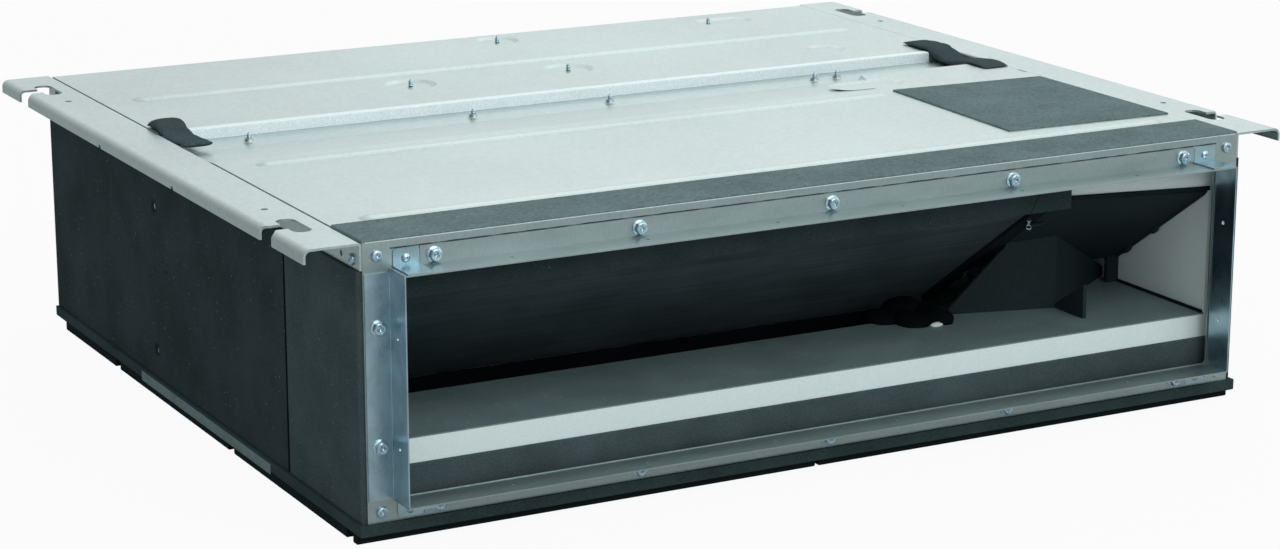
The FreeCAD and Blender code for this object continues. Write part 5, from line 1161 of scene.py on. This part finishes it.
class AIRCON_OT_collar_lines(bpy.types.Operator):
    """Makes a dark line along the collar's upper flange as painted shadow, and a pale line on the frame's
    rolled edge as painted highlight
    """

    bl_idname = "aircon.collar_lines"
    bl_label = "Collar lines"

    def execute(self, context):
        sizes = context.scene.aircon_trim
        low, high = corners("duct_collar_top")
        ring_low, ring_high = corners("outlet_frame")
        share = np.linspace(0, 1, LINE_POINTS)
        uneven = 1 + 0.35 * np.sin(share * 211) + 0.25 * np.sin(share * 83 + 1)
        # Painted shadow: a dark tube along the gap above the collar's upper flange
        path = self.line(low[0] + MM, high[0] - MM, ring_low[1], high[2] + sizes.sealant)
        seam = tube(path, sizes.sealant * np.clip(uneven, 0.4, 1.4), 8)
        fitted(mesh_object("collar_sealant", seam, "black_foam", 60.0), "black_foam")
        # Painted highlight: a thin tube of pale zinc along the frame's top edge
        path = self.line(ring_low[0] + 2 * MM, ring_high[0] - 2 * MM, ring_low[1] + sizes.sealant / 2,
                         ring_high[2] - sizes.sealant)
        rim = tube(path, sizes.sealant * 0.8, 8)
        fitted(mesh_object("frame_rim", rim, "joint_zinc", 60.0), "galvanised_sheet")
        return {"FINISHED"}

    def line(self, x0, x1, y, z):
        """Points on a level line across the unit, from x0 to x1."""
        x = np.interp(np.linspace(0, 1, LINE_POINTS), (0, 1), (x0, x1))
        return np.stack([x, np.full(LINE_POINTS, y), np.full(LINE_POINTS, z)], -1)


class AIRCON_OT_cover_foam(bpy.types.Operator):
    """Makes the foam strip along the coil's end and the narrow band under the lining's head"""

    bl_idname = "aircon.cover_foam"
    bl_label = "Cover foam"

    def execute(self, context):
        sizes = context.scene.aircon_foam
        down, up = slope_axes()
        band, strip = sorted(solids_of("cover_edge_strip"), key=lambda points: np.ptp(points[:, 1]))
        along, above = strip @ down, strip @ up
        left, right = strip[:, 0].min(), strip[:, 0].max()
        start, end, face = along.min(), along.max(), above.min()
        upper_left = strip[above > above.max() - 0.1 * MM, 0].min()
        flange = 3 * MM
        sheets = []
        for x0, depth in ((left, flange), (upper_left, np.ptp(above))):
            rows = ((x0, start), (right, start), (right, end), (x0, end))
            four = [np.array([x, 0, 0]) + down * s + up * (face + depth) for x, s in rows]
            sheets.append(foam_sheet(four, -up * depth, sizes, 0.6, 1.0))
        first, last = (band[abs(band[:, 0] - x) < 0.1 * MM] for x in (band[:, 0].min(), band[:, 0].max()))
        front, back = band[:, 1].min(), band[:, 1].max()
        four = [(side[0, 0], back, z) for side, z in ((first, first[:, 2].min()), (last, last[:, 2].min()),
                                                      (last, last[:, 2].max()), (first, first[:, 2].max()))]
        sheets.append(foam_sheet(four, (0, front - back, 0), sizes, 0.3, 2.0))
        piece = mesh_object("cover_foam", joined(sheets), "strip_foam")
        fitted(piece, "black_foam", "cover_edge_strip")
        return {"FINISHED"}


# Clips on the bead: places as shares of its length, half their width and half their length
CLIP_SHARES = (0.56, 0.875)
CLIP_HALF = (3.0 * MM, 6.5 * MM)
# Wire ties: distance down the strip, and place across it as a share of its width
TIE_PLACES = ((34.0 * MM, 0.28), (139.7 * MM, 0.62))
# Loose end beside a tie, in millimetres to the right, down the strip and up from it, and its radii
TAIL_PATH = ((2.0, 7.0, -0.9), (7.0, 7.4, -2.2), (12.0, 7.0, -2.4), (17.0, 6.2, -1.8))
TAIL_RADII = (1.5, 1.6, 1.2, 0.5)
# Lumps on the pan: place from the casing's left front corner and half sizes, in millimetres
PACKED_LUMPS = [((479, 96), (15, 20, 7)), ((499, 100), (14, 26, 10)), ((466, 112), (17, 19, 6)),
                ((488, 118), (18, 20, 12))]
CRUMB = ((490, 76.5), (5.6, 2.8, 2.6))
# Dark sheet under the coil that paints the shade there: how far it laps the fins, its distance in from their
# rear, height and thickness
SHADE_SHEET_OVERLAP = 2.2 * MM
SHADE_SHEET_PLACE = 21 * MM
SHADE_SHEET_HEIGHT = 20 * MM
SHADE_SHEET_THICK = 3 * MM
# Distance of the cover's leg from the outlet, where the pan's seal ends
COVER_LEG = 117.5 * MM


class AIRCON_OT_cover_trim(bpy.types.Operator):
    """Makes the cover's bead and clips, the wire ties on its strip, and the foam at its foot"""

    bl_idname = "aircon.cover_trim"
    bl_label = "Cover trim"

    def execute(self, context):
        sizes = context.scene.aircon_trim
        down, up = slope_axes()
        cover = np.array([vert.co[:] for vert in nodes["coil_end_cover"].data.vertices])
        right = cover[cover[:, 0] > cover[:, 0].max() - 0.2 * MM]
        edge = right[right[:, 1].argmin()] - (sizes.bead_radius * 1.1, 0, 0) + up * sizes.bead_radius * 0.3
        steps = np.linspace(2 * MM, sizes.bead_length, 24)[:, None]
        black = [tube(edge + down * steps, sizes.bead_radius)]
        for share in CLIP_SHARES:
            place = edge + down * sizes.bead_length * share - up * MM - (1.2 * MM, 0, 0)
            black.append(lump(place, CLIP_HALF, down))
        strip = max(solids_of("cover_edge_strip"), key=lambda points: np.ptp(points[:, 1]))
        start, face = (strip @ down).min(), (strip @ up).min()
        # Each tie is two wires, mirror images, that wind round each other as they go down
        turn = np.linspace(0, 3.2 * math.pi, 40)
        twist = [np.sin(turn) * 1.3 + turn * 0.1, -0.8 + np.cos(turn) * 0.7, 1.4 - turn * 0.85]
        twist = np.stack(twist, -1) * MM
        tail = np.array(TAIL_PATH) * MM @ np.stack([(1, 0, 0), down, up])
        wires = []
        for along, across in TIE_PLACES:
            x = strip[:, 0].min() + np.ptp(strip[:, 0]) * across
            place = np.array([x, 0, 0]) + down * (start + along) + up * face
            wires += [tube(place + twist * (flip, 1, 1), sizes.wire_radius) for flip in (1, -1)]
            black.append(tube(place + tail, np.array(TAIL_RADII) * MM))
        fitted(mesh_object("cover_edging", joined(black), "cover_plastic"), "black_plastic")
        fitted(mesh_object("wire_ties", joined(wires), "fastener_zinc"), "fastener_zinc")
        self.foot(sizes, context.scene.aircon_foam)
        return {"FINISHED"}

    def foot(self, sizes, foam):
        """Foam packed beside the cover's foot in painted shade, its crumb, a dark sheet under the coil as
        painted shade, and the pan's seal.
        """
        low, high = corners("drain_pan_film")
        bed = high[2]
        # The packed lumps take near-black foam: painted shade where the coil's shadow falls on them
        packed = joined([self.lying(place, half, 0.05, bed) for place, half in PACKED_LUMPS])
        fitted(mesh_object("packing_foam", packed, "wet_foam", 60.0), "black_foam")
        crumb = self.lying(*CRUMB, 0.07, bed)
        fitted(mesh_object("foam_crumb", crumb, "white_foam", 60.0), "white_foam")
        # Painted shade: a near-black sheet hanging below the coil's foot
        (left, _, under), (right, rear, _) = corners("coil_fins")
        top, y = under + SHADE_SHEET_OVERLAP, rear - SHADE_SHEET_PLACE
        below = top - SHADE_SHEET_HEIGHT
        four = [(left, y, below), (right, y, below), (right, y, top), (left, y, top)]
        sheet = foam_sheet(four, (0, -SHADE_SHEET_THICK, 0), foam, 0.3, 6.0)
        fitted(mesh_object("coil_baffle", sheet, "wet_foam"), "black_foam")
        wall, leg = high[0] - 0.1 * MM, case_low[1] + COVER_LEG
        inner = wall - sizes.seal
        four = [(inner, low[1] + MM, bed), (wall, low[1] + MM, bed), (wall, leg, bed), (inner, leg, bed)]
        sheet = foam_sheet(four, (0, 0, sizes.seal), foam, 0.3, 4.0)
        fitted(mesh_object("pan_seal", sheet, "strip_foam"), "black_foam")

    def lying(self, place, half, rough, bed):
        """Uneven lump on the pan: its place from the casing's left front corner, and its half sizes."""
        points, faces = lump((0, 0, 0), (1.0, 1.0), (0, 0, 1), rough)
        points = points * np.array(half) * MM
        points += (case_low[0] + place[0] * MM, case_low[1] + place[1] * MM, bed)
        points[:, 2] = np.maximum(points[:, 2], bed + 0.02 * MM)
        return points, faces


class AIRCON_OT_fins(bpy.types.Operator):
    """Makes the stack of thin fins that the tubes run through"""

    bl_idname = "aircon.fins"
    bl_label = "Fin stack"

    def execute(self, context):
        sizes = context.scene.aircon_coil
        low, high = corners("coil_fins")
        wide, tall = high[1] - low[1], high[2] - low[2]
        down, up = slope_axes()
        sine, cosine = -down[2], down[1]
        slope = (wide * cosine - tall * sine) / (cosine ** 2 - sine ** 2)
        thick = (tall * cosine - wide * sine) / (cosine ** 2 - sine ** 2)
        start = np.array([0.0, low[1], high[2] - thick * cosine])
        fin, faces = box_patch((0, 0, 0), (sizes.fin, slope, thick))
        fin = start + fin[:, :1] * np.array([1.0, 0, 0]) + fin[:, 1:2] * down + fin[:, 2:] * up
        places = np.arange(low[0], high[0] - sizes.fin, sizes.pitch)
        shifts = np.stack([places, 0 * places, 0 * places], -1)
        piece = mesh_object("fin_stack", repeated((fin, faces), shifts), "coated_fins")
        fitted(piece, "coated_fins", "coil_fins")
        return {"FINISHED"}


class AIRCON_OT_net(bpy.types.Operator):
    """Makes the filter's net of crossed threads"""

    bl_idname = "aircon.net"
    bl_label = "Filter net"

    def execute(self, context):
        sizes = context.scene.aircon_net
        low, high = corners("air_filter_mesh")
        middle, half = (low[1] + high[1]) / 2, sizes.thread / 2
        upright = box_patch((low[0] - half, middle - half, low[2]), (low[0] + half, middle, high[2]))
        level = box_patch((low[0], middle, low[2] - half), (high[0], middle + half, low[2] + half))
        columns = np.arange(half, high[0] - low[0], sizes.pitch)
        rows = np.arange(half, high[2] - low[2], sizes.pitch)
        threads = [repeated(upright, np.stack([columns, 0 * columns, 0 * columns], -1)),
                   repeated(level, np.stack([0 * rows, 0 * rows, rows], -1))]
        net = mesh_object("filter_net", joined(threads), "filter_mesh")
        fitted(net, "filter_mesh", "air_filter_mesh", body="filter")
        return {"FINISHED"}


# Stage
# Name, place, width in metres and power in watts of each lamp
LAMPS = [("key", (0.3, -3.0, 2.3), 2.4, 36.0), ("fill", (3.0, -0.6, 1.8), 2.0, 10.0),
         ("back", (2.0, 2.8, 2.7), 2.2, 13.0)]
LAMP_TARGET = (0.0, 0.0, 0.1)
FLOOR_REACH = 30.0


def lamp(name, place, size, power):
    """Square soft lamp at a place, facing the target: turned up from straight down, and then round."""
    light = bpy.data.lights.new(name, "AREA")
    light.size = size
    light.energy = power
    holder = bpy.data.objects.new(name, light)
    holder.location = place
    way = np.array(LAMP_TARGET) - place
    level = math.hypot(way[0], way[1])
    holder.rotation_euler = (math.atan2(level, -way[2]), 0.0, math.atan2(way[1], way[0]) - math.pi / 2)
    bpy.context.scene.collection.objects.link(holder)


def floor_material():
    """Pale floor: what the camera sees straight is lifted towards white, and the shadow stays."""
    paint = Paint("pale_floor")
    paint.done(Base_Color=(0.60, 0.61, 0.61), Roughness=0.85)
    white = paint.node("ShaderNodeEmission", None, {"Color": (1.0, 1.0, 1.0), "Strength": 1.0})
    ray = paint.read(paint.node("ShaderNodeLightPath"), "Is Camera Ray")
    paint.blend(ray * 0.94, paint.shader, white, "Material Output")
    return paint.material


class AIRCON_OT_stage(bpy.types.Operator):
    """Makes the camera, the soft lamps, the even sky and the pale floor"""

    bl_idname = "aircon.stage"
    bl_label = "Stage"

    def execute(self, context):
        scene = context.scene
        values = scene.aircon_stage
        view = bpy.data.cameras.new("view")
        view.lens = values.lens
        view.sensor_width = values.film_width
        view.sensor_fit = "HORIZONTAL"
        holder = bpy.data.objects.new("view", view)
        holder.location = values.eye
        holder.rotation_euler = (values.tilt, 0.0, values.heading)
        scene.collection.objects.link(holder)
        scene.camera = holder
        scene.view_settings.view_transform = "Standard"
        self.sky(scene, values.sky)
        for name, place, size, power in LAMPS:
            lamp(name, place, size, power)
        floor = bpy.data.meshes.new("floor")
        square = [(FLOOR_REACH * x, FLOOR_REACH * y, 0) for x, y in ((-1, -1), (1, -1), (1, 1), (-1, 1))]
        floor.from_pydata(square, [], [(0, 1, 2, 3)])
        floor.materials.append(floor_material())
        ground = bpy.data.objects.new("floor", floor)
        scene.collection.objects.link(ground)
        return {"FINISHED"}

    def sky(self, scene, strength):
        """Even light, plain white where the camera sees it, and greyer to the left where sheet mirrors it."""
        world = bpy.data.worlds.new("sky")
        scene.world = world
        tree = NodeTree(world)
        even = tree.nodes["Background"]
        tree.feed(even.inputs["Color"], (0.93, 0.98, 1.0))
        tree.feed(even.inputs["Strength"], strength)
        place = tree.read(tree.node("ShaderNodeTexCoord"), "Generated")
        side = tree.read(tree.node("ShaderNodeSeparateXYZ", None, {0: place}), "X")
        path = tree.node("ShaderNodeLightPath")
        camera, glossy = tree.read(path, "Is Camera Ray"), tree.read(path, "Is Glossy Ray")
        sockets = {"Value": side, "From Min": -0.85, "From Max": 0.1, "To Min": 0.15, "To Max": 1.0}
        slope = tree.read(tree.node("ShaderNodeMapRange", None, sockets))
        bright = {"Color": (1.0, 1.0, 1.0), "Strength": tree.maths("MAXIMUM", slope, camera)}
        white = tree.node("ShaderNodeBackground", None, bright)
        tree.blend(tree.maths("MAXIMUM", camera, glossy), even, white, "World Output")


OPERATORS = [
    AIRCON_OT_finishes, AIRCON_OT_screws, AIRCON_OT_sleeves, AIRCON_OT_side_foam, AIRCON_OT_flat_foam,
    AIRCON_OT_joint_foam, AIRCON_OT_joint_strip, AIRCON_OT_collar_lines, AIRCON_OT_cover_foam,
    AIRCON_OT_cover_trim, AIRCON_OT_fins, AIRCON_OT_net, AIRCON_OT_stage,
]


class AIRCON_PT_panel(bpy.types.Panel):
    """Lists the makers in the sidebar"""

    bl_idname = "AIRCON_PT_panel"
    bl_label = "Ducted Air Conditioner"
    bl_space_type = "VIEW_3D"
    bl_region_type = "UI"
    bl_category = "Air Conditioner"

    def draw(self, context):
        for operator in OPERATORS:
            self.layout.operator(operator.bl_idname)
        for name in GROUPS:
            box = self.layout.box()
            for key in GROUPS[name].__annotations__:
                box.prop(getattr(context.scene, name), key)


def register():
    for group in GROUPS.values():
        bpy.utils.register_class(group)
    for name, group in GROUPS.items():
        setattr(bpy.types.Scene, name, PointerProperty(type=group))
    for operator in OPERATORS:
        bpy.utils.register_class(operator)
    bpy.utils.register_class(AIRCON_PT_panel)


def unregister():
    bpy.utils.unregister_class(AIRCON_PT_panel)
    for operator in reversed(OPERATORS):
        bpy.utils.unregister_class(operator)
    for name in GROUPS:
        delattr(bpy.types.Scene, name)
    for group in reversed(GROUPS.values()):
        bpy.utils.unregister_class(group)


def main():
    register()
    for operator in OPERATORS:
        family, action = operator.bl_idname.split(".")
        getattr(getattr(bpy.ops, family), action)()


if __name__ == "__main__":
    main()
